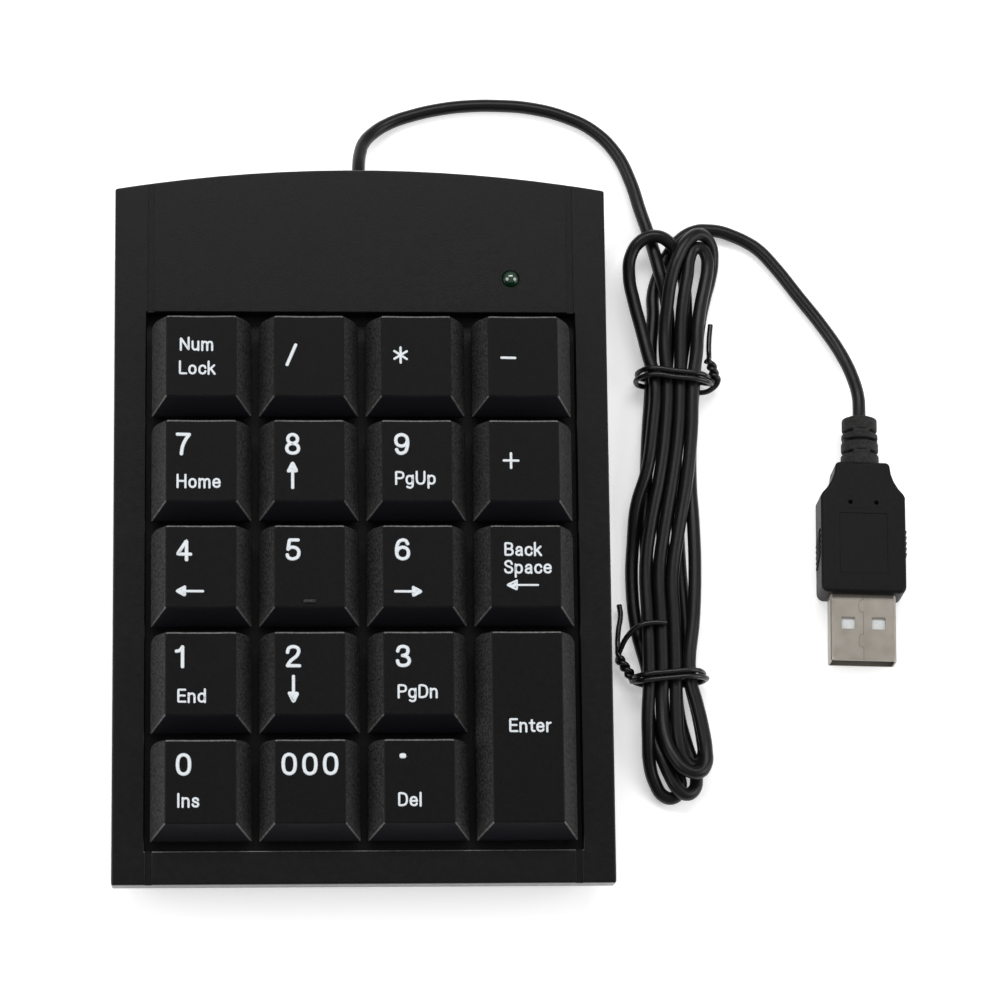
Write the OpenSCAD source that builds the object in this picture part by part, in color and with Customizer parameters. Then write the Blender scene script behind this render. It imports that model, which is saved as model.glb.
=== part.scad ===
// Corded numeric keypad: a wedge-shaped two-part case, full-height keycaps over
// rubber domes, a three-sheet membrane, a small controller board and a USB lead
// that is folded into a tied hank.
// +X is to the user's right, +Y is to the rear, +Z is up, z = 0 is the desk.

/* [Case] */
// Width of the case
body_w = 88.4; // [86:0.2:94]
// Depth of the case, front edge to the middle of the rear edge
body_d = 129.4; // [129:0.2:136]
// How far the rear edge bows out in its middle
rear_bow = 3.7; // [1.5:0.1:6]
// Height of the deck above the desk at the front edge
front_h = 13; // [13:0.1:16]
// Slope of the deck, rising to the rear
deck_slope = 4; // [3:0.5:5]
// Height of the joint between the two case halves
split_z = 8; // [7.5:0.5:8.5]
// Thickness of the case walls
wall = 2; // [1.6:0.1:2.2]
// Width of the two decorative grooves beside the key field
groove_w = 1.2; // [0.6:0.1:1.6]

/* [Keys] */
// Spacing of the keys
pitch = 19.05; // [18.8:0.05:19.3]
// Width of a single keycap at its skirt
cap_w = 17.75; // [17:0.05:18.1]
// Depth of a single keycap at its skirt
cap_d = 17.8; // [17:0.05:18.1]
// Width of a keycap's top face
cap_top_w = 12.5; // [11:0.1:14]
// How far the top face stands back from the front of the skirt
cap_front_run = 2.45; // [1.5:0.05:4]
// How far the top face stands in from the rear of the skirt
cap_rear_run = 0.65; // [0.3:0.05:1.5]
// Height of the keycap tops above the deck
cap_rise = 6.2; // [5:0.1:8]
// Travel of a key
travel = 3.2; // [2.5:0.1:3.4]

/* [Inside] */
// Thickness of each membrane sheet
sheet_t = 0.1; // [0.1:0.05:0.15]
// Thickness of the rubber dome mat
mat_t = 0.5; // [0.4:0.05:0.6]
// Thickness of the controller board
board_t = 1.6; // [1:0.1:1.6]
// Diameter of the status lamp
lamp_d = 3; // [2.6:0.1:3]
// Height of the rubber feet under the case
foot_h = 1; // [0.8:0.1:1.2]

/* [Lead] */
// Diameter of the lead
cord_d = 2.4; // [2:0.1:2.6]
// Thickness of the hank, two layers of lead and some slack
hank_h = 5.2; // [4.8:0.1:6]
// Diameter of the twist tie wire
tie_d = 1; // [0.8:0.1:1]

/* [Plug] */
// Width of the plug's moulded grip
grip_w = 15.5; // [14:0.5:16]
// Thickness of the plug's moulded grip
grip_h = 8; // [7.5:0.1:9]
// Length of the plug's shell in front of the grip
shell_l = 12.3; // [11.7:0.1:12.5]

/* [Hidden] */

$fn = 64;
eps = 0.01;
far = 200;

// Case outline
half_w = body_w / 2;
half_d = body_d / 2;
arc_r = (half_w * half_w + rear_bow * rear_bow) / (2 * rear_bow);
front_draft = 0.08;      // run over rise of the upper case's front face
under_draft = 0.32;      // run over rise of the lower case's walls
lower_inset = 0.8;       // step between the upper and the lower case
lip_t = 1;
lip_gap = 0.1;
lip_h = 2;
floor_t = 1.5;
deck_t = 2;
groove_depth = 0.4;

// Key field, measured on the deck from the field's centre
field_y = 54.5;          // front edge of the deck to the field's centre
well_w = 77;
well_d = 97.1;
tub_wall = 1.5;
skirt_z = -0.3;          // bottom of the keycap skirts at rest
plate_top = skirt_z - travel - 0.2;
plate_t = 1.2;
plate_z = plate_top - plate_t;

// Keycap details
cap_wall = 1.2;
cap_roof = 1.5;
skirt_h = 0.6;
dish_r = 40;
dish_depth = 0.35;
stem_w = 5;
stem_gap = 0.05;
sleeve_w = 8.4;
sleeve_top = 1.1;
hook_out = 0.45;
hook_gap = 0.05;
hook_h = 0.8;
stem_z = plate_z - 1;    // foot of each stem, resting on its dome

// Domes and membrane
mat_z = -10;             // underside of the dome mat
dome_r = 4.5;
dome_top_r = 2.4;
dome_wall = 0.6;
plunger_t = 1.1;
mat_w = 73.6;
mat_d = 93.2;
mat_top = mat_z + mat_t;
sheets_z = mat_z - 3 * sheet_t;
contact_r = 3;

// Screw places in the key field and behind it, on the desk plane
boss_r = 2.5;
boss_hole_r = 3.5;
boss_places = [
    [-pitch, -28.6], [pitch, -28.6], [-pitch, 8.9], [pitch, 8.9], [-36, 44.5], [36, 44.5]
];
boss_z = 4.5;            // where the bosses meet the posts
screw_r = 1.1;
screw_gap = 0.05;
screw_head_r = 2.2;
screw_head_h = 1.4;
screw_seat_z = 2.6;
screw_end_z = 9.6;
post_r = 3.5;

foot_r = 4;
foot_sink = 0.5;
foot_places = [[-34, -54], [34, -54], [-34, 53], [34, 53]];

// Controller board, on the deck's axes
board_w = 61;
board_x = 0.5;
board_front = 50;
board_rear = 64;
board_top = mat_z + board_t;
tail_w = 26;
tail_x = -2;
tail_end = 55;
strip_t = 1.2;
board_screw_places = [[-24, 60], [18, 60]];
lamp_x = 27;
lamp_y = 54.9;
lamp_top = 1.2;
lamp_flange_z = -4.3;
wire_r = 0.3;

// Where the lead leaves the rear wall
exit_z = split_z;
grommet_w = 6;
grommet_h = 4.4;
collar_out = 1;
collar_t = 1.5;
lip_in = half_d - wall - lip_gap - lip_t;
collar_y = lip_in - 0.1 - collar_t;
jacket_end = 58.5;

// Enter key's stabiliser wire, measured from that key's centre
stab_r = 0.5;
stab_x = 5.8;
stab_z = -3.2;
stab_arm = 6.5;
stab_angle = 35.8;
stab_half = 12;
stab_hook = 2.5;

// Lead, from the case to the hank and from the hank to the plug
cord_r = cord_d / 2;
lead_route = [
    [0, 64.7, 8], [0, 67, 8], [0.1, 70.5, 7.1], [0.4, 73.8, 5.3], [1.2, 76.8, 3.5], [3, 79.3, 2.2],
    [6.1, 81.6, 1.4], [10.5, 83.3, 1.2], [16, 84.6, 1.2], [21, 85.2, 1.2], [26.4, 85.3, 1.2],
    [32.7, 84.8, 1.2], [39.1, 83.1, 1.2], [44.3, 80.4, 1.2], [48.5, 75.9, 1.3], [51, 70.5, 1.6],
    [52.7, 64.5, 2.1], [54, 59, 2.6]
];
tail_route = [
    [59.4, 59.4, 2.4], [60.8, 60.7, 2.3], [63, 61.8, 2.1], [65.9, 61.9, 1.8], [68.9, 60.8, 1.5],
    [72, 59, 1.3], [74.9, 56.8, 1.2], [77.6, 53.7, 1.2], [81.8, 47.8, 1.2], [86.2, 41.7, 1.3],
    [89.4, 36.2, 1.8], [91.2, 31.2, 2.9], [91.9, 27.2, 3.8], [91.92, 25.6, 4], [91.85, 23.39, 4]
];
hank_z = tie_d + 0.05;
hank_w = 10.6;

// Plug, lying on the desk and pointing to the front
plug_x = 90.9;
plug_y = -10.8;
plug_turn = -1.6;
grip_l = 18.1;
neck_l = 24.8;
neck_w = 9.8;
relief_l = 34.2;
relief_r = 3.25;
shell_w = 12;
shell_h = 4.5;
shell_t = 0.3;
shell_in = 6;
tongue_t = 1.9;

// ---- placing and sweeping ----

// The deck's own axes, with the origin at the key field's centre
module on_deck() {
    translate([0, -half_d, front_h]) rotate([deck_slope, 0, 0]) translate([0, field_y, 0]) children();
}

module at_plug() {
    translate([plug_x, plug_y, 0]) rotate([0, 0, plug_turn]) children();
}

// A profile in Y and Z, drawn out along X
module along_x(length) {
    rotate([90, 0, 90]) linear_extrude(length, center = true) children();
}

// A profile in X and Z, drawn out along Y
module along_y(length) {
    rotate([90, 0, 0]) linear_extrude(length, center = true) children();
}

module box_at(low, high) {
    translate(low) cube(high - low);
}

function unit(v) = v / norm(v);
function direction(route, i) =
    let (last = len(route) - 1)
    unit(route[min(i + 1, last)] - route[max(i - 1, 0)]);

// A round tube swept along a route, with one ring at each of its points
module tube(route, r, sides, ref) {
    rings = len(route);
    points = [
        for (i = [0:rings - 1])
            let (t = direction(route, i), across = unit(cross(t, ref)), over = cross(across, t))
            for (k = [0:sides - 1])
                route[i] + r * (cos(360 * k / sides) * across + sin(360 * k / sides) * over)
    ];
    walls = [
        for (i = [0:rings - 2], k = [0:sides - 1], half = [0, 1])
            let (a = i * sides + k, b = i * sides + (k + 1) % sides, c = b + sides, d = a + sides)
            half == 0 ? [a, b, c] : [a, c, d]
    ];
    start_cap = [[for (k = [sides - 1:-1:0]) k]];
    end_cap = [[for (k = [0:sides - 1]) (rings - 1) * sides + k]];
    polyhedron(points = points, faces = concat(start_cap, walls, end_cap));
}

// ---- case ----

// Plan of the case, stood in from its edge by inset
module plan(inset) {
    intersection() {
        translate([-half_w + inset, -half_d + inset]) square([body_w - 2 * inset, body_d]);
        translate([0, half_d - arc_r]) circle(arc_r - inset, $fn = 200);
    }
}

// Everything under a plane parallel to the deck
module under_deck(depth) {
    on_deck() translate([-far / 2, -far / 2, -depth - far]) cube(far);
}

// Lower case body with undercut walls, stood in by inset
module tray(inset) {
    run = under_draft * split_z;
    intersection() {
        translate([0, half_d - arc_r, 0])
            cylinder(h = split_z, r1 = arc_r - inset - run, r2 = arc_r - inset, $fn = 200);
        along_x(far) polygon([
            [-half_d + inset + run, 0], [far, 0], [far, split_z], [-half_d + inset, split_z]
        ]);
        along_y(far) polygon([
            [-half_w + inset + run, 0], [half_w - inset - run, 0],
            [half_w - inset, split_z], [-half_w + inset, split_z]
        ]);
    }
}

module cord_notch(low_z, high_z) {
    box_at([-grommet_w / 2, half_d - 8, low_z], [grommet_w / 2, half_d + 1, high_z]);
}

// Ribs under the centre lines of the keys, up to the membrane
module membrane_ribs() {
    rib_t = 1.2;
    intersection() {
        under_deck(-sheets_z);
        union() {
            for (row = [-2:2])
                on_deck() box_at([-36, row * pitch - rib_t / 2, -30], [36, row * pitch + rib_t / 2, 0]);
            for (x = [-1.5:1:1.5])
                on_deck() box_at([x * pitch - rib_t / 2, -46, -30], [x * pitch + rib_t / 2, 46, 0]);
        }
        box_at([-far, -far, foot_h + floor_t / 2], [far, far, far]);
    }
}

// Ledge that backs the pressure strip, and posts for the board's screws
module board_supports() {
    intersection() {
        on_deck() union() {
            box_at([tail_x - tail_w / 2, 51.5, -30], [tail_x + tail_w / 2, 53.5, sheets_z - strip_t]);
            for (p = board_screw_places)
                translate([p[0], p[1], -30]) cylinder(h = 30 + mat_z, r = 2.2);
        }
        box_at([-far, -far, foot_h + floor_t / 2], [far, far, far]);
    }
}

module bottom_case() color([0.04, 0.04, 0.045]) difference() {
    union() {
        difference() {
            tray(lower_inset);
            translate([0, 0, foot_h + floor_t]) tray(lower_inset + wall);
            box_at([-far, -far, -1], [far, far, foot_h]);
        }
        // Lip that locates the upper case
        translate([0, 0, split_z - 1]) linear_extrude(lip_h + 1) difference() {
            plan(wall + lip_gap);
            plan(wall + lip_gap + lip_t);
        }
        membrane_ribs();
        board_supports();
        for (p = boss_places)
            translate([p[0], p[1], foot_h]) cylinder(h = boss_z - foot_h, r = post_r);
    }
    for (p = boss_places) translate([p[0], p[1], 0]) {
        cylinder(h = 30, r = screw_r + screw_gap);
        cylinder(h = screw_seat_z, r = screw_head_r + 0.2);
        translate([0, 0, boss_z]) cylinder(h = 30, r = post_r + 0.1);
    }
    for (p = foot_places)
        translate([p[0], p[1], 0]) cylinder(h = foot_h + foot_sink, r = foot_r);
    on_deck() for (p = board_screw_places)
        translate([p[0], p[1], mat_z - 5]) cylinder(h = 6, r = 0.9);
    cord_notch(exit_z - grommet_h / 2, far);
    // Room for the grommet's collar behind the wall
    box_at([-grommet_w / 2 - collar_out - 0.1, collar_y - 0.2, exit_z - grommet_h / 2 - collar_out - 0.1],
           [grommet_w / 2 + collar_out + 0.1, lip_in - 0.05, far]);
}

function key_x(col) = (col - 1.5) * pitch;
function key_y(row) = (2 - row) * pitch;
// Column and row of every stem; the tall key's stem is halfway down rows 3 and 4
stems = concat([for (row = [0:4], col = [0:2]) [col, row]], [[3, 0], [3, 1], [3, 2], [3, 3.5]]);

// Recessed tub that holds the keys, with a square sleeve for every stem
module key_tub() {
    outer = [well_w / 2 + tub_wall, well_d / 2 + tub_wall];
    difference() {
        box_at([-outer[0], -outer[1], plate_z], [outer[0], outer[1], -deck_t / 2]);
        box_at([-well_w / 2, -well_d / 2, plate_top], [well_w / 2, well_d / 2, 1]);
    }
    for (s = stems)
        translate([key_x(s[0]), key_y(s[1]), 0])
            box_at([-sleeve_w / 2, -sleeve_w / 2, plate_z], [sleeve_w / 2, sleeve_w / 2, sleeve_top]);
    // Lugs that the stabiliser wire turns in
    for (side = [-1, 1])
        translate([key_x(3) + stab_x, key_y(3.5) + 8 * side, 0])
            box_at([-1, -1, plate_z], [1, 1, stab_z + 1]);
}

module stem_holes() {
    hole = stem_w / 2 + stem_gap;
    for (s = stems)
        translate([key_x(s[0]), key_y(s[1]), 0]) box_at([-hole, -hole, plate_z - 1], [hole, hole, 5]);
}

// Grooves that set the side rails off from the middle of the deck
module deck_grooves() {
    for (side = [-1, 1])
        translate([side * (well_w / 2 - 0.8), 0, 0])
            box_at([-groove_w / 2, -far / 2, -groove_depth], [groove_w / 2, far / 2, 1]);
}

module top_case() color([0.045, 0.045, 0.05]) difference() {
    union() {
        // Outer shell, open below
        difference() {
            intersection() {
                translate([0, 0, split_z]) linear_extrude(30) plan(0);
                under_deck(0);
                along_x(far) polygon([
                    [-half_d + front_draft * (front_h - split_z), split_z], [-half_d, front_h],
                    [-half_d, 60], [far, 60], [far, split_z]
                ]);
            }
            intersection() {
                linear_extrude(60) plan(wall);
                under_deck(deck_t);
            }
            on_deck() box_at([-well_w / 2, -well_d / 2, -10], [well_w / 2, well_d / 2, 10]);
        }
        on_deck() key_tub();
        // Screw bosses
        intersection() {
            union() {
                for (p = boss_places)
                    translate([p[0], p[1], boss_z]) cylinder(h = 40, r = boss_r);
            }
            union() {
                on_deck() box_at([-25, -48, -30], [25, 48, plate_z + 0.5]);
                intersection() {
                    under_deck(deck_t / 2);
                    box_at([-far, 40, 0], [far, far, far]);
                }
            }
        }
    }
    on_deck() stem_holes();
    on_deck() deck_grooves();
    on_deck() translate([key_x(3) + stab_x, key_y(3.5), stab_z]) rotate([90, 0, 0])
        cylinder(h = 24, r = stab_r + 0.05, center = true);
    on_deck() translate([lamp_x, lamp_y, -5]) cylinder(h = 10, r = lamp_d / 2 + 0.1);
    for (p = boss_places)
        translate([p[0], p[1], 0]) cylinder(h = screw_end_z + 0.3, r = screw_r + screw_gap);
    cord_notch(0, exit_z + grommet_h / 2);
}

module rubber_feet() color([0.09, 0.09, 0.09])
    for (p = foot_places)
        translate([p[0], p[1], 0]) cylinder(h = foot_h + foot_sink, r = foot_r);

// Self-tapping screws with pan heads, seated in the floor's recesses
module case_screws() color("silver")
    for (p = boss_places) translate([p[0], p[1], 0]) difference() {
        union() {
            translate([0, 0, screw_seat_z - screw_head_h]) cylinder(h = screw_head_h, r = screw_head_r);
            translate([0, 0, screw_seat_z - eps]) cylinder(h = screw_end_z - screw_seat_z, r = screw_r);
        }
        for (turn = [0, 90])
            rotate([0, 0, turn]) box_at([-1.4, -0.25, 0], [1.4, 0.25, screw_seat_z - 0.7]);
    }

// ---- keys ----

// Solid bounded by a keycap's four sloping sides, stood in by inset
module cap_block(depth, inset, low, high) {
    half = cap_w / 2 - inset;
    top_half = cap_top_w / 2 - inset;
    front = -depth / 2 + inset;
    rear = depth / 2 - inset;
    turn = skirt_z + skirt_h;
    intersection() {
        along_y(far) polygon([
            [-half, low], [half, low], [half, turn], [top_half, cap_rise],
            [-top_half, cap_rise], [-half, turn]
        ]);
        along_x(far) polygon([
            [front, low], [rear, low], [rear, turn], [rear - cap_rear_run, cap_rise],
            [front + cap_front_run, cap_rise], [front, turn]
        ]);
        box_at([-far, -far, low], [far, far, high]);
    }
}

// Square stem with two snap hooks that stop under the plate
module key_stem() {
    box_at([-stem_w / 2, -stem_w / 2, stem_z], [stem_w / 2, stem_w / 2, cap_rise - cap_roof + eps]);
    hook_top = plate_z - hook_gap;
    along_y(stem_w) polygon([
        [-stem_w / 2 - hook_out, hook_top], [stem_w / 2 + hook_out, hook_top],
        [stem_w / 2, hook_top - hook_h], [-stem_w / 2, hook_top - hook_h]
    ]);
}

module keycap(depth) {
    difference() {
        cap_block(depth, 0, skirt_z, cap_rise);
        cap_block(depth, cap_wall, skirt_z - 1, cap_rise - cap_roof);
        translate([0, 0, cap_rise + dish_r - dish_depth]) rotate([90, 0, 0])
            cylinder(h = far, r = dish_r, center = true, $fn = 200);
    }
    key_stem();
}

module key(col, row, depth = cap_d) {
    color([0.05, 0.05, 0.055]) on_deck() translate([key_x(col), key_y(row), 0]) keycap(depth);
}

module key_num_lock() key(0, 0);
module key_divide() key(1, 0);
module key_multiply() key(2, 0);
module key_minus() key(3, 0);
module key_7() key(0, 1);
module key_8() key(1, 1);
module key_9() key(2, 1);
module key_plus() key(3, 1);
module key_4() key(0, 2);

// The middle key carries a small bar that a finger can find
module key_5() {
    key(1, 2);
    color([0.05, 0.05, 0.055]) on_deck() translate([key_x(1), key_y(2), 0])
        box_at([-1.15, -5.6, cap_rise - 0.6], [1.15, -5, cap_rise]);
}

module key_6() key(2, 2);
module key_backspace() key(3, 2);
module key_1() key(0, 3);
module key_2() key(1, 3);
module key_3() key(2, 3);
module key_0() key(0, 4);
module key_triple_zero() key(1, 4);
module key_decimal() key(2, 4);

// Two units deep, with two slotted tabs for the stabiliser's hooks
module key_enter() {
    key(3, 3.5, cap_d + pitch);
    color([0.05, 0.05, 0.055]) on_deck() translate([key_x(3), key_y(3.5), 0])
        for (side = [-1, 1]) difference() {
            translate([0, side * 14, 0])
                box_at([-2.6, -0.6, -0.45], [2.6, 0.6, cap_rise - cap_roof + eps]);
            translate([0, side * 14, 0]) box_at([-1.5, -1, -0.1], [1.4, 1, 1.3]);
        }
}

// Bent wire: a long bar in the case's lugs, two arms, and hooks in the key's tabs
module enter_stabiliser() color("silver") on_deck()
    translate([key_x(3) + stab_x, key_y(3.5), stab_z]) {
        rotate([90, 0, 0]) cylinder(h = 2 * stab_half, r = stab_r, center = true);
        for (side = [-1, 1]) translate([0, side * stab_half, 0]) {
            sphere(stab_r);
            rotate([0, stab_angle - 90, 0]) cylinder(h = stab_arm, r = stab_r);
            translate([-stab_arm * cos(stab_angle), 0, stab_arm * sin(stab_angle)]) {
                sphere(stab_r);
                rotate([-90 * side, 0, 0]) cylinder(h = stab_hook, r = stab_r);
            }
        }
    }

// ---- domes, membrane and board ----

// Where a place on the desk plane falls on the sheets, which lie parallel to the deck
function sheet_y(y) = (y + half_d + mat_z * sin(deck_slope)) / cos(deck_slope) - field_y;

// Sheet outline with its tail to the board and clear round the screw bosses
module sheet_plan(tail) {
    difference() {
        union() {
            square([mat_w, mat_d], center = true);
            if (tail)
                translate([tail_x - tail_w / 2, 0]) square([tail_w, tail_end]);
        }
        for (p = boss_places)
            if (abs(p[0]) < mat_w / 2 - boss_hole_r && p[1] < 40)
                translate([p[0], sheet_y(p[1])]) circle(boss_hole_r);
    }
}

module dome_mat() color([0.75, 0.75, 0.72]) on_deck() difference() {
    union() {
        translate([0, 0, mat_z]) linear_extrude(mat_t) sheet_plan(false);
        for (s = stems)
            translate([key_x(s[0]), key_y(s[1]), mat_top - eps])
                cylinder(h = stem_z - mat_top + eps, r1 = dome_r, r2 = dome_top_r);
    }
    for (s = stems)
        translate([key_x(s[0]), key_y(s[1]), mat_z - 1])
            cylinder(h = 1 + stem_z - mat_z - plunger_t, r1 = dome_r - dome_wall, r2 = dome_top_r - dome_wall);
}

module sheet(layer, cell_r) {
    on_deck() translate([0, 0, mat_z - (layer + 1) * sheet_t]) linear_extrude(sheet_t) difference() {
        sheet_plan(true);
        if (cell_r > 0)
            for (s = stems) translate([key_x(s[0]), key_y(s[1])]) circle(cell_r);
    }
}

module membrane_top() color([0.8, 0.85, 0.85]) sheet(0, 0);
module membrane_spacer() color([0.7, 0.8, 0.85]) sheet(1, contact_r);
module membrane_bottom() color([0.8, 0.85, 0.85]) sheet(2, 0);

module pressure_strip() color([0.2, 0.2, 0.2]) on_deck()
    box_at([tail_x - tail_w / 2, 50.5, sheets_z - strip_t], [tail_x + tail_w / 2, 54.5, sheets_z]);

module controller_board() color([0.12, 0.35, 0.16]) on_deck() difference() {
    box_at([board_x - board_w / 2, board_front, mat_z], [board_x + board_w / 2, board_rear, board_top]);
    for (p = board_screw_places) translate([p[0], p[1], mat_z - 1]) cylinder(h = 4, r = 1.1);
}

// Domed resin over the bonded chip
module controller_blob() color([0.02, 0.02, 0.02]) on_deck() intersection() {
    translate([-12, 57.5, board_top - 7]) sphere(8.6);
    box_at([-20, 50, board_top], [0, 66, 0]);
}

module chip_resistors() color([0.1, 0.1, 0.12]) on_deck()
    for (i = [0:2])
        translate([5 + 3 * i, 53.5, board_top]) box_at([-0.8, -1.6, 0], [0.8, 1.6, 0.6]);

module smoothing_capacitor() color([0.15, 0.15, 0.35]) on_deck()
    translate([11, 59, board_top]) cylinder(h = 5, r = 2);

module board_screws() color("silver") on_deck()
    for (p = board_screw_places) translate([p[0], p[1], 0]) {
        translate([0, 0, board_top]) cylinder(h = 1.2, r = 1.9);
        translate([0, 0, mat_z - 4]) cylinder(h = 4 + board_t + eps, r = 0.85);
    }

module lamp_lens() color([0.1, 0.5, 0.15]) on_deck() translate([lamp_x, lamp_y, 0]) {
    dome_z = lamp_top - lamp_d / 2;
    translate([0, 0, lamp_flange_z]) cylinder(h = 1, r = lamp_d / 2 + 0.4);
    translate([0, 0, lamp_flange_z]) cylinder(h = dome_z - lamp_flange_z, r = lamp_d / 2);
    translate([0, 0, dome_z]) sphere(lamp_d / 2);
}

module lamp_legs() color("silver") on_deck() translate([lamp_x, lamp_y, 0])
    for (side = [-1, 1])
        translate([side * 1.27, 0, 0]) box_at([-0.25, -0.25, board_top], [0.25, 0.25, lamp_flange_z]);

// ---- where the lead enters ----

module cord_grommet() color([0.05, 0.05, 0.05]) translate([0, 0, exit_z]) difference() {
    half = [grommet_w / 2, grommet_h / 2];
    union() {
        box_at([-half[0], collar_y, -half[1]], [half[0], half_d, half[1]]);
        box_at([-half[0] - collar_out, collar_y, -half[1] - collar_out],
               [half[0] + collar_out, collar_y + collar_t, half[1] + collar_out]);
    }
    translate([0, half_d, 0]) rotate([90, 0, 0]) cylinder(h = 20, r = cord_r + 0.05, center = true);
}

module inner_cable() color([0.03, 0.03, 0.03])
    translate([0, half_d, exit_z]) rotate([90, 0, 0]) cylinder(h = half_d - jacket_end, r = cord_r);

// One conductor, from the end of the jacket over the board's rear edge to its pad
module conductor(i) {
    start_x = (i - 1.5) * 0.65;
    pad_x = (i - 1.5) * 3;
    mid_x = (start_x + pad_x) / 2;
    on_deck() tube([
        [start_x, 67.9, -13.6], [start_x, 67, -13.5], [mid_x, 65.9, -11.9], [pad_x, 65.4, -9.8],
        [pad_x, 65.2, -8], [pad_x, 64.3, -6.9], [pad_x, 63, -6.6], [pad_x, 62.1, -6.9],
        [pad_x, 61.9, -7.6], [pad_x, 61.9, board_top + eps]
    ], wire_r, 8, [1, 0, 0]);
}

module wire_red() color("red") conductor(0);
module wire_white() color("white") conductor(1);
module wire_green() color("green") conductor(2);
module wire_black() color([0.08, 0.08, 0.08]) conductor(3);

// ---- free lead ----

module cord_lead() color([0.03, 0.03, 0.03]) tube(lead_route, cord_r, 8, [0, 0, 1]);
module cord_tail() color([0.03, 0.03, 0.03]) tube(tail_route, cord_r, 8, [0, 0, 1]);

module disc(x, y, r) {
    translate([x, y]) circle(r, $fn = 32);
}

// Outer shape of the folded lead: broad at its loops and drawn in at the ties
module cord_hank() color([0.03, 0.03, 0.03]) translate([0, 0, hank_z]) linear_extrude(hank_h) {
    hull() {
        disc(54.8, 53.5, 6);
        disc(61.7, 55, 5.5);
        disc(57.8, 31, hank_w / 2);
    }
    hull() {
        disc(57.8, 31, hank_w / 2);
        disc(55.3, -26, hank_w / 2);
    }
    hull() {
        disc(55.3, -26, hank_w / 2);
        disc(54.8, -43, 5.3);
        disc(57.6, -41, 4.8);
    }
}

// Two turns of wire pressed flat round the hank
module tie_band(x, y, turn) {
    inner_w = hank_w + 1;
    translate([x, y, 0]) rotate([0, 0, turn]) difference() {
        box_at([-inner_w / 2 - tie_d, -tie_d, 0], [inner_w / 2 + tie_d, tie_d, hank_z + hank_h + 0.1 + tie_d]);
        box_at([-inner_w / 2, -far, hank_z - 0.03], [inner_w / 2, far, hank_z + hank_h + 0.1]);
    }
}

module twist_tie_upper() color([0.02, 0.02, 0.02]) {
    tie_band(57.9, 31.2, -2);
    tube([[64.3, 31.2, 2.6], [65.6, 33, 2.4], [65.8, 36.5, 2], [66, 41.5, 1.6]], tie_d / 2, 8, [0, 0, 1]);
}

module twist_tie_lower() color([0.02, 0.02, 0.02]) {
    tie_band(55.4, -25.6, 2);
    tube([[49.4, -25.4, 2.6], [47.8, -23, 2.4], [47.2, -19, 2], [46.8, -11.5, 1.6]], tie_d / 2, 8, [0, 0, 1]);
}

// ---- plug ----

module plug_overmould() color([0.04, 0.04, 0.04]) at_plug() difference() {
    union() {
        intersection() {
            linear_extrude(grip_h) offset(1, $fn = 24) offset(-1, $fn = 24) polygon([
                [-grip_w / 2, 0], [grip_w / 2, 0], [grip_w / 2, grip_l], [neck_w / 2, 21.2],
                [neck_w / 2, neck_l], [-neck_w / 2, neck_l], [-neck_w / 2, 21.2], [-grip_w / 2, grip_l]
            ]);
            along_x(far) polygon([
                [-1, 0], [grip_l, 0], [21.2, 0.8], [neck_l, 0.8], [neck_l, grip_h - 0.8],
                [21.2, grip_h - 0.8], [grip_l, grip_h], [-1, grip_h]
            ]);
        }
        // Strain relief: a tapering sleeve with four rings
        translate([0, neck_l - 1, grip_h / 2]) rotate([-90, 0, 0]) {
            cylinder(h = relief_l - neck_l + 1, r1 = 2.5, r2 = 2);
            for (i = [0:3])
                translate([0, 0, 1.6 + 2.25 * i]) cylinder(h = 1.5, r = relief_r - 0.1 * i);
        }
    }
    // Pocket for the shell
    box_at([-shell_w / 2, -1, (grip_h - shell_h) / 2], [shell_w / 2, shell_in, (grip_h + shell_h) / 2]);
    // Recessed panels for the thumb and the finger
    box_at([-4.5, 3.5, grip_h - 0.3], [4.5, 15, grip_h + 1]);
    box_at([-4.5, 3.5, -1], [4.5, 15, 0.3]);
}

module plug_shell() color([0.75, 0.74, 0.72]) at_plug() difference() {
    z0 = (grip_h - shell_h) / 2;
    box_at([-shell_w / 2, -shell_l, z0], [shell_w / 2, shell_in, z0 + shell_h]);
    box_at([-shell_w / 2 + shell_t, -shell_l - 1, z0 + shell_t],
           [shell_w / 2 - shell_t, shell_in + 1, z0 + shell_h - shell_t]);
    // Latch windows on both faces
    for (side = [-1, 1])
        translate([side * 2.75, -5.4, 0]) box_at([-1.2, -1.05, 0], [1.2, 1.05, 10]);
}

// Insulator that fills the upper half of the shell
module plug_tongue() color([0.93, 0.93, 0.9]) at_plug() {
    roof = (grip_h + shell_h) / 2 - shell_t;
    half = shell_w / 2 - shell_t - 0.05;
    box_at([-half, -shell_l + 0.6, roof - tongue_t], [half, shell_in - 3, roof]);
    box_at([-half, 0.5, roof - shell_h + 2 * shell_t], [half, shell_in - 3, roof]);
}

module plug_contacts() color([0.85, 0.7, 0.35]) at_plug() {
    roof = (grip_h + shell_h) / 2 - shell_t;
    for (x = [-3.5, -1, 1, 3.5]) {
        reach = abs(x) > 2 ? 10.9 : 9.9;
        box_at([x - 0.5, -reach, roof - tongue_t - 0.15], [x + 0.5, 0.5, roof - tongue_t]);
    }
}

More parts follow.
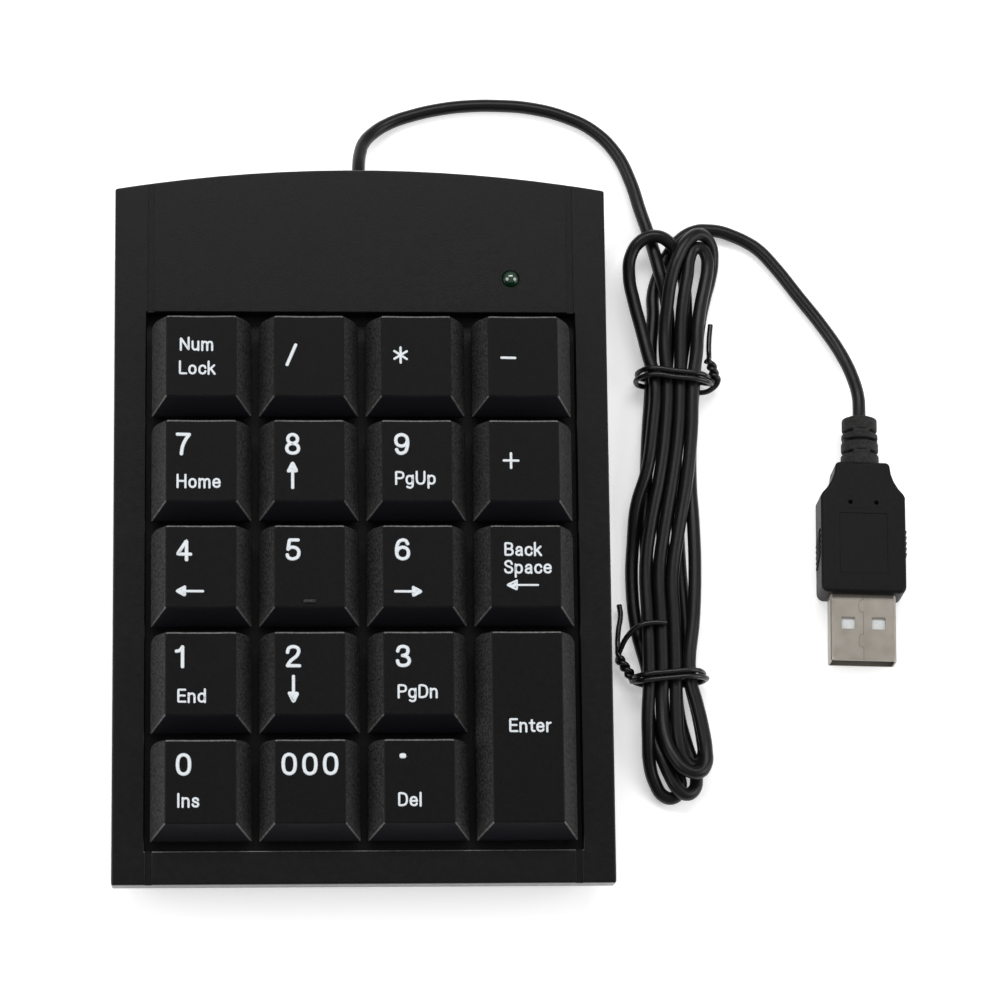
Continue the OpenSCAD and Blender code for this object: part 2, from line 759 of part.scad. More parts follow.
bottom_case();
top_case();
rubber_feet();
case_screws();
key_num_lock();
key_divide();
key_multiply();
key_minus();
key_7();
key_8();
key_9();
key_plus();
key_4();
key_5();
key_6();
key_backspace();
key_1();
key_2();
key_3();
key_enter();
key_0();
key_triple_zero();
key_decimal();
enter_stabiliser();
dome_mat();
membrane_top();
membrane_spacer();
membrane_bottom();
pressure_strip();
controller_board();
controller_blob();
chip_resistors();
smoothing_capacitor();
board_screws();
lamp_lens();
lamp_legs();
cord_grommet();
inner_cable();
wire_red();
wire_white();
wire_green();
wire_black();
cord_lead();
cord_hank();
cord_tail();
twist_tie_upper();
twist_tie_lower();
plug_overmould();
plug_shell();
plug_tongue();
plug_contacts();
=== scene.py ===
"""Looks of a numeric keypad with a USB lead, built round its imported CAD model."""

import math

import bmesh
import bpy
from mathutils import Matrix, Vector


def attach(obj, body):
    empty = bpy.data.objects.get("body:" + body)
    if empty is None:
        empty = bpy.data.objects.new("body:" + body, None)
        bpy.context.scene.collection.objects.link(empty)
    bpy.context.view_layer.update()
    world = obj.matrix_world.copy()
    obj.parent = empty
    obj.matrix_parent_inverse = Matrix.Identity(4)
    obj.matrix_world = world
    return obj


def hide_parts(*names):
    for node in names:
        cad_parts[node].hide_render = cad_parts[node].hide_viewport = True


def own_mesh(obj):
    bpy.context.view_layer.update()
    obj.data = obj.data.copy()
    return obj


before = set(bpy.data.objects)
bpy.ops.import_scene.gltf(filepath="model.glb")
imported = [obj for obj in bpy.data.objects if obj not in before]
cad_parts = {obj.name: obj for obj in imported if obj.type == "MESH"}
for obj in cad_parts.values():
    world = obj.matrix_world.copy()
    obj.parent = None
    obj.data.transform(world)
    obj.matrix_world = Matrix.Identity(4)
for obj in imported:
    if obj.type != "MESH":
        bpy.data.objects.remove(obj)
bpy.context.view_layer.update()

MM = 0.001
scene = bpy.context.scene
scene.view_settings.view_transform = "Standard"

# ---- sizes, in mm ----

PITCH = 19.05
CAP_W, CAP_D = 17.75, 17.8
CAP_TOP_W = 12.5
CAP_FRONT_RUN, CAP_REAR_RUN = 2.45, 0.65
SKIRT_Z, SKIRT_TURN, CAP_RISE = -0.3, 0.3, 6.2
DISH_R, DISH_DEPTH = 40, 0.35
CAP_WALL, CAP_ROOF = 1.2, 1.5
REAR_CORNER, FRONT_CORNER, RIM_ROUND = 1.9, 0.2, 0.4
STEM_W, STEM_Z, HOOK_OUT, PLATE_Z = 5, -5.9, 0.45, -4.9
WELL_Y, GROOVE_X = 48.55, 37.7
CORD_D = 2.4
TIE_R, TIE_TWIST = 0.5, 0.5
FRONT_Y, FRONT_TOP, KEYS_FROM_FRONT, DECK_SLOPE = -64.7, 13, 54.5, 4
PLUG_AT, PLUG_TURN = (90.9, -10.8, 0), -1.6

# Deck axes: origin at the key field's centre, Z square to the sloping deck
DECK = (
    Matrix.Translation((0, FRONT_Y, FRONT_TOP))
    @ Matrix.Rotation(math.radians(DECK_SLOPE), 4, "X")
    @ Matrix.Translation((0, KEYS_FROM_FRONT, 0))
)
PLUG = Matrix.Translation(PLUG_AT) @ Matrix.Rotation(math.radians(PLUG_TURN), 4, "Z")
TO_METRES = Matrix.Scale(MM, 4)

# ---- camera ----

camera = bpy.data.objects.new("camera", bpy.data.cameras.new("camera"))
camera.location = (-0.02183, -0.2012, 0.73733)
camera.rotation_euler = [math.radians(a) for a in (15.925, -3.413, -0.969)]
camera.data.lens = 151.22
camera.data.sensor_width = 36
camera.data.clip_start = 0.01
scene.collection.objects.link(camera)
scene.camera = camera


# ---- helpers ----


def add(obj, body=None, replaces=()):
    """Puts a piece in the scene and lets it ride on its body."""
    scene.collection.objects.link(obj)
    if body:
        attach(obj, body)
    if replaces:
        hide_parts(*replaces)
    return obj


def mesh_piece(name, bm, materials, place=TO_METRES):
    """A mesh object at the origin, its shape moved to its place in metres."""
    mesh = bpy.data.meshes.new(name)
    bmesh.ops.transform(bm, matrix=place, verts=bm.verts)
    bm.to_mesh(mesh)
    bm.free()
    for m in materials:
        mesh.materials.append(m)
    return bpy.data.objects.new(name, mesh)


def smooth(obj, angle=40):
    """Smooth shading that keeps the edges sharper than the angle."""
    obj.data.shade_smooth()
    bm = bmesh.new()
    bm.from_mesh(obj.data)
    for e in bm.edges:
        if sharp(e, angle):
            e.smooth = False
    bm.to_mesh(obj.data)
    bm.free()
    weighted = obj.modifiers.new("even_shading", "WEIGHTED_NORMAL")
    weighted.keep_sharp = True
    return obj


def merged(node, place=None):
    """A copy of a CAD node's mesh, its flat faces whole, in mm on the axes of place."""
    bm = bmesh.new()
    bm.from_mesh(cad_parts[node].data)
    bmesh.ops.transform(bm, matrix=Matrix.Scale(1 / MM, 4), verts=bm.verts)
    if place:
        bmesh.ops.transform(bm, matrix=place.inverted(), verts=bm.verts)
    bmesh.ops.remove_doubles(bm, verts=bm.verts, dist=0.0005)
    bmesh.ops.dissolve_limit(bm, angle_limit=math.radians(0.5), verts=bm.verts, edges=bm.edges)
    return bm


def sharp(edge, degrees):
    """Whether an edge between two faces folds by more than so many degrees."""
    return len(edge.link_faces) == 2 and edge.calc_face_angle(0) > math.radians(degrees)


def slice_at(bm, point, normal, **clear):
    """Cuts the whole mesh along a plane."""
    bmesh.ops.bisect_plane(
        bm, geom=bm.verts[:] + bm.edges[:] + bm.faces[:], dist=0.0001,
        plane_co=point, plane_no=normal, **clear,
    )


def round_off(bm, edges, size, segments=3):
    """Rounds edges with a bevel of the given size."""
    bmesh.ops.bevel(
        bm, geom=list(edges), offset=size, offset_type="OFFSET", segments=segments,
        profile=0.5, affect="EDGES", material=-1, clamp_overlap=True,
    )


def block(bm, low, high):
    """A box between two corners; returns its vertices."""
    low, high = Vector(low), Vector(high)
    place = Matrix.Translation((low + high) / 2) @ Matrix.Diagonal((*(high - low), 1))
    return bmesh.ops.create_cube(bm, size=1, matrix=place)["verts"]


def edges_of(verts):
    """Every edge that meets one of the vertices."""
    return {e for v in verts for e in v.link_edges}


def faces_of(verts):
    """Every face that meets one of the vertices."""
    return {f for v in verts for f in v.link_faces}


def paint(faces, slot):
    """Gives faces the piece's material in that slot."""
    for f in faces:
        f.material_index = slot


def wire_curve(name, paths, radius, material, resolution, sides):
    """Round wire through points in mm, one spline for each path."""
    curve = bpy.data.curves.new(name, "CURVE")
    curve.dimensions = "3D"
    curve.resolution_u = resolution
    curve.bevel_depth = radius * MM
    curve.bevel_resolution = sides
    curve.use_fill_caps = True
    for path in paths:
        spline = curve.splines.new("BEZIER")
        spline.bezier_points.add(len(path) - 1)
        for point, place in zip(spline.bezier_points, path):
            point.co = Vector(place) * MM
            point.handle_left_type = point.handle_right_type = "AUTO"
    curve.materials.append(material)
    return bpy.data.objects.new(name, curve)


# ---- materials ----


class Finish:
    """A procedural finish on Object coordinates."""

    def __init__(self, name, colour, rough, metal=0.0, **sockets):
        self.material = bpy.data.materials.new(name)
        self.material.use_nodes = True
        self.tree = self.material.node_tree
        self.shader = self.tree.nodes["Principled BSDF"]
        self.shader.inputs["Base Color"].default_value = (*colour, 1)
        self.shader.inputs["Roughness"].default_value = rough
        self.shader.inputs["Metallic"].default_value = metal
        for key, value in sockets.items():
            self.shader.inputs[key.replace("_", " ")].default_value = value
        self.place = self.tree.nodes.new("ShaderNodeTexCoord")
        self.material.diffuse_color = (*colour, 1)
        self.last_bump = None

    def noise(self, scale, detail=3.0, rough=0.55, stretch=None):
        """Noise with so many features to a metre; stretch squeezes them along an axis."""
        node = self.tree.nodes.new("ShaderNodeTexNoise")
        node.inputs["Scale"].default_value = scale
        node.inputs["Detail"].default_value = detail
        node.inputs["Roughness"].default_value = rough
        source = self.place.outputs["Object"]
        if stretch:
            mapping = self.tree.nodes.new("ShaderNodeMapping")
            mapping.inputs["Scale"].default_value = stretch
            self.tree.links.new(source, mapping.inputs["Vector"])
            source = mapping.outputs["Vector"]
        self.tree.links.new(source, node.inputs["Vector"])
        return node.outputs["Fac"]

    def ramp(self, source, low, high):
        """Colours from low to high over the middle of a source's range."""
        node = self.tree.nodes.new("ShaderNodeValToRGB")
        for element, at, colour in zip(node.color_ramp.elements, (0.35, 0.65), (low, high)):
            element.position = at
            element.color = (*colour, 1)
        self.tree.links.new(source, node.inputs["Fac"])
        return node.outputs["Color"]

    def vary_colour(self, source, low, high):
        """Mottles the colour between two shades."""
        self.tree.links.new(self.ramp(source, low, high), self.shader.inputs["Base Color"])
        return self

    def vary_roughness(self, source, low, high):
        """Lets the gloss wander between two roughnesses."""
        greys = self.ramp(source, (low,) * 3, (high,) * 3)
        self.tree.links.new(greys, self.shader.inputs["Roughness"])
        return self

    def bump(self, source, height):
        """Relief of the given height in mm; later calls add to earlier ones."""
        node = self.tree.nodes.new("ShaderNodeBump")
        node.inputs["Distance"].default_value = height * MM
        self.tree.links.new(source, node.inputs["Height"])
        if self.last_bump:
            self.tree.links.new(self.last_bump, node.inputs["Normal"])
        self.last_bump = node.outputs["Normal"]
        self.tree.links.new(self.last_bump, self.shader.inputs["Normal"])
        return self


def moulded(name, dark, light, rough, grain, height, **sockets):
    """Moulded plastic: spark-eroded grain, faint mottling and handling gloss."""
    finish = Finish(name, light, rough, **sockets)
    finish.vary_colour(finish.noise(grain * 0.9, 4), dark, light)
    finish.vary_roughness(finish.noise(grain * 0.3, 3), rough - 0.03, rough + 0.03)
    finish.bump(finish.noise(grain, 2, 0.6), height)
    finish.bump(finish.noise(grain * 2.7, 2, 0.6), height * 0.5)
    return finish.material


CASE = moulded(
    "case_plastic", (0.0032, 0.0030, 0.0031), (0.0048, 0.0046, 0.0047), 0.36, 2600, 0.016,
    Specular_IOR_Level=0.18,
)
# Outer walls: a glossier, finer-grained copy of the case plastic; its lighter colour is painted
# light standing in for the bright floor's reflection.
CASE_WALL_PAINTED_LIGHT = moulded(
    "case_wall_painted_light", (0.011, 0.011, 0.0115), (0.015, 0.015, 0.0155), 0.3, 2600, 0.004,
)
# Painted highlight: a light finish on the rounded edges at the grooves' front ends and along the
# well's front.
CASE_EDGE_HIGHLIGHT = moulded(
    "case_edge_painted_highlight", (0.030, 0.030, 0.0305), (0.065, 0.065, 0.0655), 0.3, 1500, 0.004,
)
KEY_TOP = moulded(
    "key_plastic", (0.0036, 0.0035, 0.0038), (0.0052, 0.0051, 0.0055), 0.40, 3200, 0.012,
    Specular_IOR_Level=0.1,
)
# Front slopes of the keys: a lighter copy of the key plastic, painted light on the front slopes.
KEY_FRONT_PAINTED_LIGHT = moulded(
    "key_front_painted_light", (0.0096, 0.0096, 0.0120), (0.0114, 0.0114, 0.0144), 0.42, 3200, 0.010,
    Specular_IOR_Level=0.06,
)
# Side slopes of the keys: coarser, rougher grain, and a lighter colour that is painted light from
# the side lamps.
KEY_SIDE_PAINTED_LIGHT = moulded(
    "key_side_painted_light", (0.010, 0.0097, 0.0096), (0.045, 0.0440, 0.0435), 0.62, 2600, 0.050,
    Specular_IOR_Level=0.14,
)
# Painted highlight: a light finish on the keys' front corner bevels and rear rim.
KEY_EDGE_HIGHLIGHT = moulded(
    "key_edge_painted_highlight", (0.050, 0.049, 0.049), (0.120, 0.118, 0.117), 0.4, 1900, 0.010,
)
INK = moulded("legend_ink", (0.60, 0.64, 0.67), (0.68, 0.72, 0.75), 0.5, 4000, 0.004)
RUBBER = moulded("foot_rubber", (0.010, 0.010, 0.010), (0.018, 0.017, 0.017), 0.82, 1800, 0.05)
SCREW = Finish("screw_steel", (0.50, 0.50, 0.49), 0.32, 1.0)
SCREW.vary_roughness(SCREW.noise(900, 3), 0.24, 0.42).bump(SCREW.noise(1600, 2), 0.01)
WIRE = Finish("spring_wire", (0.56, 0.55, 0.52), 0.28, 1.0)
WIRE.vary_roughness(WIRE.noise(1200, 2, stretch=(1, 0.1, 1)), 0.2, 0.38)
DOMES = moulded(
    "dome_silicone", (0.52, 0.52, 0.49), (0.60, 0.60, 0.56), 0.55, 1500, 0.02,
    Subsurface_Weight=0.25, Subsurface_Scale=0.001,
)
SHEET = moulded("sheet_film", (0.50, 0.55, 0.56), (0.58, 0.62, 0.62), 0.25, 900, 0.01)
STRIP = moulded("strip_rubber", (0.022, 0.022, 0.022), (0.035, 0.035, 0.035), 0.85, 2200, 0.06)
BOARD = moulded("board_laminate", (0.010, 0.075, 0.024), (0.016, 0.105, 0.034), 0.35, 1600, 0.02)
RESIN = moulded("chip_resin", (0.006, 0.006, 0.006), (0.010, 0.010, 0.010), 0.22, 500, 0.03)
CERAMIC = moulded("chip_ceramic", (0.02, 0.02, 0.025), (0.035, 0.035, 0.04), 0.45, 2400, 0.01)
CAN = moulded("capacitor_can", (0.02, 0.025, 0.11), (0.03, 0.035, 0.15), 0.3, 1200, 0.01)
TIN = Finish("lead_tin", (0.62, 0.61, 0.58), 0.3, 1.0)
TIN.vary_roughness(TIN.noise(1500, 2), 0.22, 0.4)
CORD = moulded(
    "cord_vinyl", (0.0050, 0.0048, 0.0048), (0.0070, 0.0066, 0.0064), 0.34, 1100, 0.016,
    Specular_IOR_Level=0.22,
)
TIE = moulded(
    "tie_vinyl", (0.005, 0.005, 0.005), (0.007, 0.007, 0.007), 0.27, 900, 0.02,
    Specular_IOR_Level=0.4,
)
GRIP = moulded(
    "plug_vinyl", (0.0042, 0.0040, 0.0041), (0.0068, 0.0065, 0.0066), 0.45, 2800, 0.02,
    Specular_IOR_Level=0.1,
)
RELIEF = moulded(
    "relief_vinyl", (0.007, 0.0067, 0.0067), (0.022, 0.021, 0.0205), 0.66, 2300, 0.09,
    Specular_IOR_Level=0.2,
)
TONGUE = moulded("tongue_plastic", (0.47, 0.49, 0.49), (0.55, 0.57, 0.56), 0.4, 2000, 0.01)
GOLD = Finish("contact_gold", (0.83, 0.60, 0.26), 0.22, 1.0)
GOLD.vary_roughness(GOLD.noise(1500, 2), 0.16, 0.3)
SHELL = Finish("shell_nickel", (0.52, 0.485, 0.445), 0.34, 1.0)
SHELL.vary_colour(SHELL.noise(260, 4), (0.255, 0.232, 0.202), (0.295, 0.270, 0.238))
SHELL.vary_roughness(SHELL.noise(500, 2), 0.33, 0.38)
SHELL.bump(SHELL.noise(2600, 2), 0.003)
LAMP = Finish("lamp_lens", (0.003, 0.05, 0.016), 0.1, 0.0, Specular_IOR_Level=1.0, Coat_Weight=1.0)
LAMP.vary_colour(LAMP.noise(500, 2), (0.001, 0.018, 0.006), (0.002, 0.034, 0.011))
JACKETS = {
    "wire_red": ((0.40, 0.010, 0.010), (0.52, 0.020, 0.015)),
    "wire_white": ((0.62, 0.62, 0.60), (0.74, 0.74, 0.72)),
    "wire_green": ((0.010, 0.22, 0.040), (0.016, 0.30, 0.055)),
    "wire_black": ((0.008, 0.008, 0.008), (0.014, 0.014, 0.014)),
}
NODE_FINISH = {
    "rubber_feet": RUBBER, "case_screws": SCREW.material, "enter_stabiliser": WIRE.material,
    "dome_mat": DOMES, "membrane_top": SHEET, "membrane_spacer": SHEET, "membrane_bottom": SHEET,
    "pressure_strip": STRIP, "controller_board": BOARD, "controller_blob": RESIN,
    "chip_resistors": CERAMIC, "smoothing_capacitor": CAN, "board_screws": SCREW.material,
    "lamp_legs": TIN.material, "inner_cable": CORD, "plug_tongue": TONGUE,
    "plug_contacts": GOLD.material,
}
for node, colours in JACKETS.items():
    NODE_FINISH[node] = moulded(node, *colours, 0.4, 900, 0.01)
for node, finish in NODE_FINISH.items():
    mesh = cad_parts[node].data
    mesh.materials.clear()
    mesh.materials.append(finish)

# ---- lead: one line from the rear wall through the hank to the plug ----

lead_in = [
    (0, 64.7, 8), (0, 67, 8), (0.1, 70.5, 7.1), (0.4, 73.8, 5.3), (1.2, 76.8, 3.5), (3, 79.3, 2.2),
    (6.1, 81.6, 1.4), (10.5, 83.3, 1.2), (16, 84.6, 1.2), (21, 85.2, 1.2), (26.4, 85.3, 1.2),
    (32.7, 84.8, 1.2), (39.1, 83.1, 1.2), (44.3, 80.4, 1.2), (48.5, 75.9, 1.2), (51, 70.5, 1.3),
    (52.7, 64.5, 1.5), (53.9, 60.3, 2.0), (54.9, 56.1, 2.8), (55.9, 51.2, 3.6), (56.9, 46.6, 3.3),
    (57.3, 40, 2.5),
]
# Runs between the two ties, downwards; the bundle turns by one place on the way.
# The upper runs lie on the joints of the lower ones.
run_top_1 = [
    (54.2, 31, 4.65), (53.5, 20, 4.6), (52.4, 13.2, 4.3), (50.4, 6.8, 3.1), (49.7, 0, 1.9),
    (49.3, -6.5, 1.7), (49.9, -16, 2), (51.9, -25.5, 2.25),
]
run_top_2 = [
    (56.6, 31, 4.65), (55.9, 20, 4.65), (54.6, 11.5, 4.65), (53.0, 4, 4.5), (51.7, -5, 4.3),
    (51.8, -15, 4.5), (51.8, -25.5, 4.65),
]
run_top_3 = [
    (59, 31, 4.65), (58.3, 20, 4.65), (57, 11.5, 4.65), (55.25, 2, 4.65), (54.1, -6, 4.6),
    (54.2, -15, 4.65), (54.2, -25.5, 4.65),
]
run_top_4 = [
    (61.4, 31, 4.65), (60.7, 20, 4.65), (59.4, 10, 4.65), (57.7, 1, 4.6), (56.5, -7, 4.6),
    (56.6, -15, 4.65), (56.6, -25.5, 4.65),
]
run_low_1 = [
    (53.8, 31, 2.25), (52.9, 20, 2.2), (52.4, 11, 1.6), (52.1, 2, 1.4), (52.4, -6, 1.6),
    (53.3, -15, 2), (54.1, -25.5, 2.25),
]
run_low_2 = [
    (56.5, 31, 2.25), (55.6, 20, 2.2), (55.3, 11, 2.1), (55.2, 2, 1.9), (55.4, -6, 1.8),
    (56.3, -15, 2), (56.7, -25.5, 2.25),
]
run_low_3 = [
    (59.1, 31, 2.25), (58.2, 20, 2.2), (57.8, 11, 2.1), (58, 2, 1.8), (58.3, -6, 1.6),
    (58.9, -15, 1.9), (59.3, -25.5, 2.25),
]
run_low_4 = [
    (61.8, 31, 2.25), (60.8, 20, 2.3), (60.5, 11, 2.5), (60.7, 4, 3.2), (60.7, -5, 3.8),
    (60.2, -14, 4.3), (59.1, -25.5, 4.65),
]
# Loops below the lower tie and above the upper one
loop_b = [
    (57.2, -32, 1.7), (58.5, -37.5, 1.4), (59.7, -41.6, 1.7), (60, -44.2, 2.1),
    (59.4, -46.1, 2.6), (57.9, -46.9, 3.1), (56.4, -45.9, 3.5), (55.1, -43.6, 3.6),
    (53.8, -40.3, 3.3), (52.5, -36.8, 2.5), (51.7, -32, 2.25),
]
loop_top_left = [
    (53.3, 34.6, 4.5), (52.1, 40.2, 4.2), (50.8, 46, 4), (50.1, 50.5, 4), (50.5, 54.6, 4.4),
    (52.3, 57.2, 5), (54.9, 58.2, 5.1), (57.5, 57.3, 4.6), (59.3, 54.8, 3.7), (60.2, 51.5, 3.1),
    (60.6, 47, 2.7), (60.35, 40, 2.4), (59.5, 34.5, 2.3),
]
loop_d = [
    (60.6, -32, 2.2), (61.3, -36.6, 2.2), (61.4, -39.4, 2.6), (60.6, -41.2, 3.3),
    (59.1, -41.8, 4), (57.7, -40.8, 4.5), (56.9, -38.2, 4.7), (56.5, -31.4, 4.7),
]
loop_inner = [
    (62.2, 36, 4.65), (62.5, 40.6, 4.6), (63.2, 45, 4.4), (64.1, 49, 4.1), (64.7, 52.4, 3.9),
    (64.6, 54.6, 4), (63.7, 56, 4.2), (62.3, 55.9, 4.5), (61.4, 54.2, 4.8), (60.8, 50.5, 5),
    (60, 46, 5), (59.4, 40.5, 4.8), (59.2, 36, 4.7),
]
loop_c = [
    (53.9, -31.6, 4.8), (54.3, -37, 5.4), (55.9, -41, 6), (57.9, -43.1, 6.1), (60, -43.5, 5.9),
    (61.4, -42, 5.4), (61.6, -39.3, 5), (61.1, -35, 4.8), (60.2, -30.5, 4.7),
]
loop_top_right = [
    (62.5, 38, 2.2), (63.3, 43, 2), (64.3, 47.2, 1.8), (65.3, 50.7, 1.6), (65.9, 54.2, 1.7),
    (65.5, 57.2, 3), (63.6, 58.7, 4.6), (61.1, 57.2, 5.8), (59.1, 53.8, 6.2), (57.7, 49.5, 5.9),
    (56.9, 44.6, 5.3), (56.4, 40, 4.8), (56.3, 35.6, 4.7),
]
loop_a = [
    (51.3, -33.2, 4.7), (51.3, -37, 4.4), (51.5, -41, 3.1), (52.5, -44.5, 1.9),
    (54.2, -46.9, 1.3), (55.9, -47.1, 1.2), (57.1, -45.6, 1.2), (56.9, -42.8, 1.2),
    (55.7, -38.5, 1.2), (54.6, -32.5, 1.6),
]
tail_out = [
    (53.9, 37, 2.1), (54.6, 43.7, 1.6), (54.7, 47.9, 1.3), (56, 52.2, 1.2), (57.8, 55.9, 1.4),
    (60.2, 58.8, 1.9), (63, 60.3, 2), (65.3, 60.5, 1.8), (67.6, 60.3, 1.6), (69.8, 59.6, 1.4),
    (72.1, 58.6, 1.2), (74.4, 57.1, 1.2), (77.4, 53.8, 1.2), (81.8, 47.8, 1.2), (86.2, 41.7, 1.3),
    (89.4, 36.2, 1.8), (91.2, 31.2, 2.9), (91.9, 27.2, 3.8), (91.9, 25, 4), (91.82, 22.5, 4),
]
route = (
    lead_in + run_low_2 + loop_b + run_top_1[::-1] + loop_top_left + run_low_3 + loop_d
    + run_top_4[::-1] + loop_inner + run_top_3 + loop_c + run_low_4[::-1] + loop_top_right
    + run_top_2 + loop_a + run_low_1[::-1] + tail_out
)
cord = wire_curve("usb_cord", [route], CORD_D / 2, CORD, resolution=5, sides=4)
add(cord, "case", ["cord_lead", "cord_hank", "cord_tail"])

# ---- twist ties: two turns of wire round the hank, their ends twisted together ----


def twisted(start, end, turns, phase, steps=9):
    """One strand of a pair that winds round the line from start to end."""
    start, end = Vector(start), Vector(end)
    along = (end - start).normalized()
    side = along.cross(Vector((0, 0, 1))).normalized()
    up = side.cross(along)
    points = []
    for i in range(steps + 1):
        t = i / steps
        a = math.radians(360 * turns * t + phase)
        turned = math.cos(a) * side + math.sin(a) * up
        points.append(tuple(start.lerp(end, t) + TIE_TWIST * turned))
    return points


upper_turns = [
    (64.6, 31.2, 2.6), (63.9, 30.9, 5.2), (62.3, 31, 6.75), (57.9, 31.5, 6.85), (53.4, 32, 6.75),
    (51.7, 32, 5), (51.2, 31.9, 3), (52, 31.7, 1.3), (57.9, 31.3, 0.7), (63, 31, 1.15),
    (64.7, 30.4, 2.2), (64.3, 29.8, 5), (62.3, 29.9, 6.65), (57.9, 30.3, 6.85), (53.6, 30.8, 6.75),
    (51.3, 30.6, 5), (50.9, 30.4, 3), (52, 30.2, 1.3), (57.9, 30, 0.7), (62.6, 29, 1.15),
    (64.9, 29.4, 1.9),
]
upper_knot = ((65.7, 30.9, 3), (64.9, 34.2, 2.7), 1.3)
upper_tail = [(64.7, 35.8, 2.2), (64.8, 38.6, 1.9), (65.2, 42, 1.7)]
upper_tie = wire_curve(
    "tie_upper",
    [
        upper_turns + twisted(*upper_knot, 0) + upper_tail,
        [(64.6, 31.2, 2.6), (64.9, 30.5, 3.4)] + twisted(*upper_knot, 180) + [(64.1, 35, 1.6)],
    ],
    TIE_R, TIE, resolution=5, sides=2,
)
lower_turns = [
    (49.1, -25.2, 2.4), (49.4, -25.6, 5), (50.9, -25.6, 6.75), (55.4, -25.2, 6.9),
    (59.8, -24.9, 6.75), (61.3, -24.9, 5.2), (61.7, -25, 3), (61, -25.2, 1.3), (55.4, -25.4, 0.7),
    (50.2, -25.6, 1.3), (48.8, -26, 2.6), (49.4, -26.5, 5), (51, -26.7, 6.7), (55.4, -26.3, 6.85),
    (59.9, -26, 6.7), (61.9, -25.9, 5), (62.2, -25.7, 3), (61.1, -25.9, 1.3), (55.4, -26.4, 0.7),
    (50.4, -26.2, 1.3), (48.6, -25.2, 2),
]
lower_knot = ((48.4, -24.6, 2.6), (46.5, -21.6, 2.4), 1.2)
lower_tails = [
    [(46.4, -19.5, 2.2), (46.6, -16.5, 2), (47.1, -13.4, 1.8), (46.9, -11.5, 1.7)],
    [(46.9, -20, 3.2), (48.2, -17.9, 5), (50.2, -16.5, 6.2), (52.8, -16, 6.5), (55, -16.1, 6.4)],
]
lower_tie = wire_curve(
    "tie_lower",
    [
        lower_turns + twisted(*lower_knot, 0) + lower_tails[0],
        lower_turns[:1] + twisted(*lower_knot, 180) + lower_tails[1],
    ],
    TIE_R, TIE, resolution=5, sides=2,
)
add(upper_tie, "case", ["twist_tie_upper"])
add(lower_tie, "case", ["twist_tie_lower"])

# ---- floor and lights ----

bm = bmesh.new()
bmesh.ops.create_grid(bm, x_segments=1, y_segments=1, size=3000)
FLOOR_DROP = 0.00002
FLOOR = Finish(
    "floor_paper", (0.88, 0.88, 0.88), 0.9, Emission_Color=(1, 1, 1, 1), Emission_Strength=0.4,
)
floor = add(mesh_piece("floor", bm, [FLOOR.material]))
floor.location.z = -FLOOR_DROP

world = bpy.data.worlds.new("studio")
world.use_nodes = True
sky = world.node_tree.nodes["Background"].inputs
sky["Color"].default_value = (1, 1, 1, 1)
sky["Strength"].default_value = 0.32
scene.world = world


def softbox(name, place, aim, size, power):
    """A rectangular studio light that faces its aim, in metres and watts."""
    light = bpy.data.lights.new(name, "AREA")
    light.shape = "RECTANGLE"
    light.size, light.size_y = size
    light.energy = power
    obj = bpy.data.objects.new(name, light)
    obj.location = place
    obj.rotation_euler = (Vector(aim) - Vector(place)).to_track_quat("-Z", "Y").to_euler()
    scene.collection.objects.link(obj)


softbox("left_softbox", (-0.95, -0.15, 0.7), (0, 0, 0), (0.8, 0.9), 7.5)
softbox("right_softbox", (1.0, -0.15, 0.6), (0, 0, 0), (0.7, 0.8), 6.5)
softbox("rear_softbox", (0.0, 0.68, 1.1), (0, 0.03, 0), (1.2, 0.4), 9.5)

# ---- case: both halves with softened outer edges ----

RIM_ROUNDING, WELL_ROUNDING, GROOVE_ROUNDING, FOOT_ROUNDING = 0.7, 0.3, 0.24, 0.8


def on_deck_top(point):
    """Whether a point lies on the deck's plane, in deck axes."""
    return abs(point.z) < 0.02


def at_outline(point):
    """Whether a point in deck axes lies on the case's outline: sides, front or bowed rear."""
    p = DECK @ point
    return abs(p.x) > 44 or p.y < -64.2 or (p.y > 60.5 and p.y > 61 - abs(p.x) * 0.02)


def outer_rim_edges(bm):
    """Edges of the deck's outer outline and of the front corners, in deck axes."""
    picked = set()
    for e in bm.edges:
        a, b = (v.co for v in e.verts)
        if not (sharp(e, 25) and at_outline(a) and at_outline(b)):
            continue
        flat = on_deck_top(a) and on_deck_top(b)
        upright = abs(a.x) > 44.1 and abs(b.x) > 44.1 and abs(a.z - b.z) > 2
        if flat or upright:
            picked.add(e)
    return picked


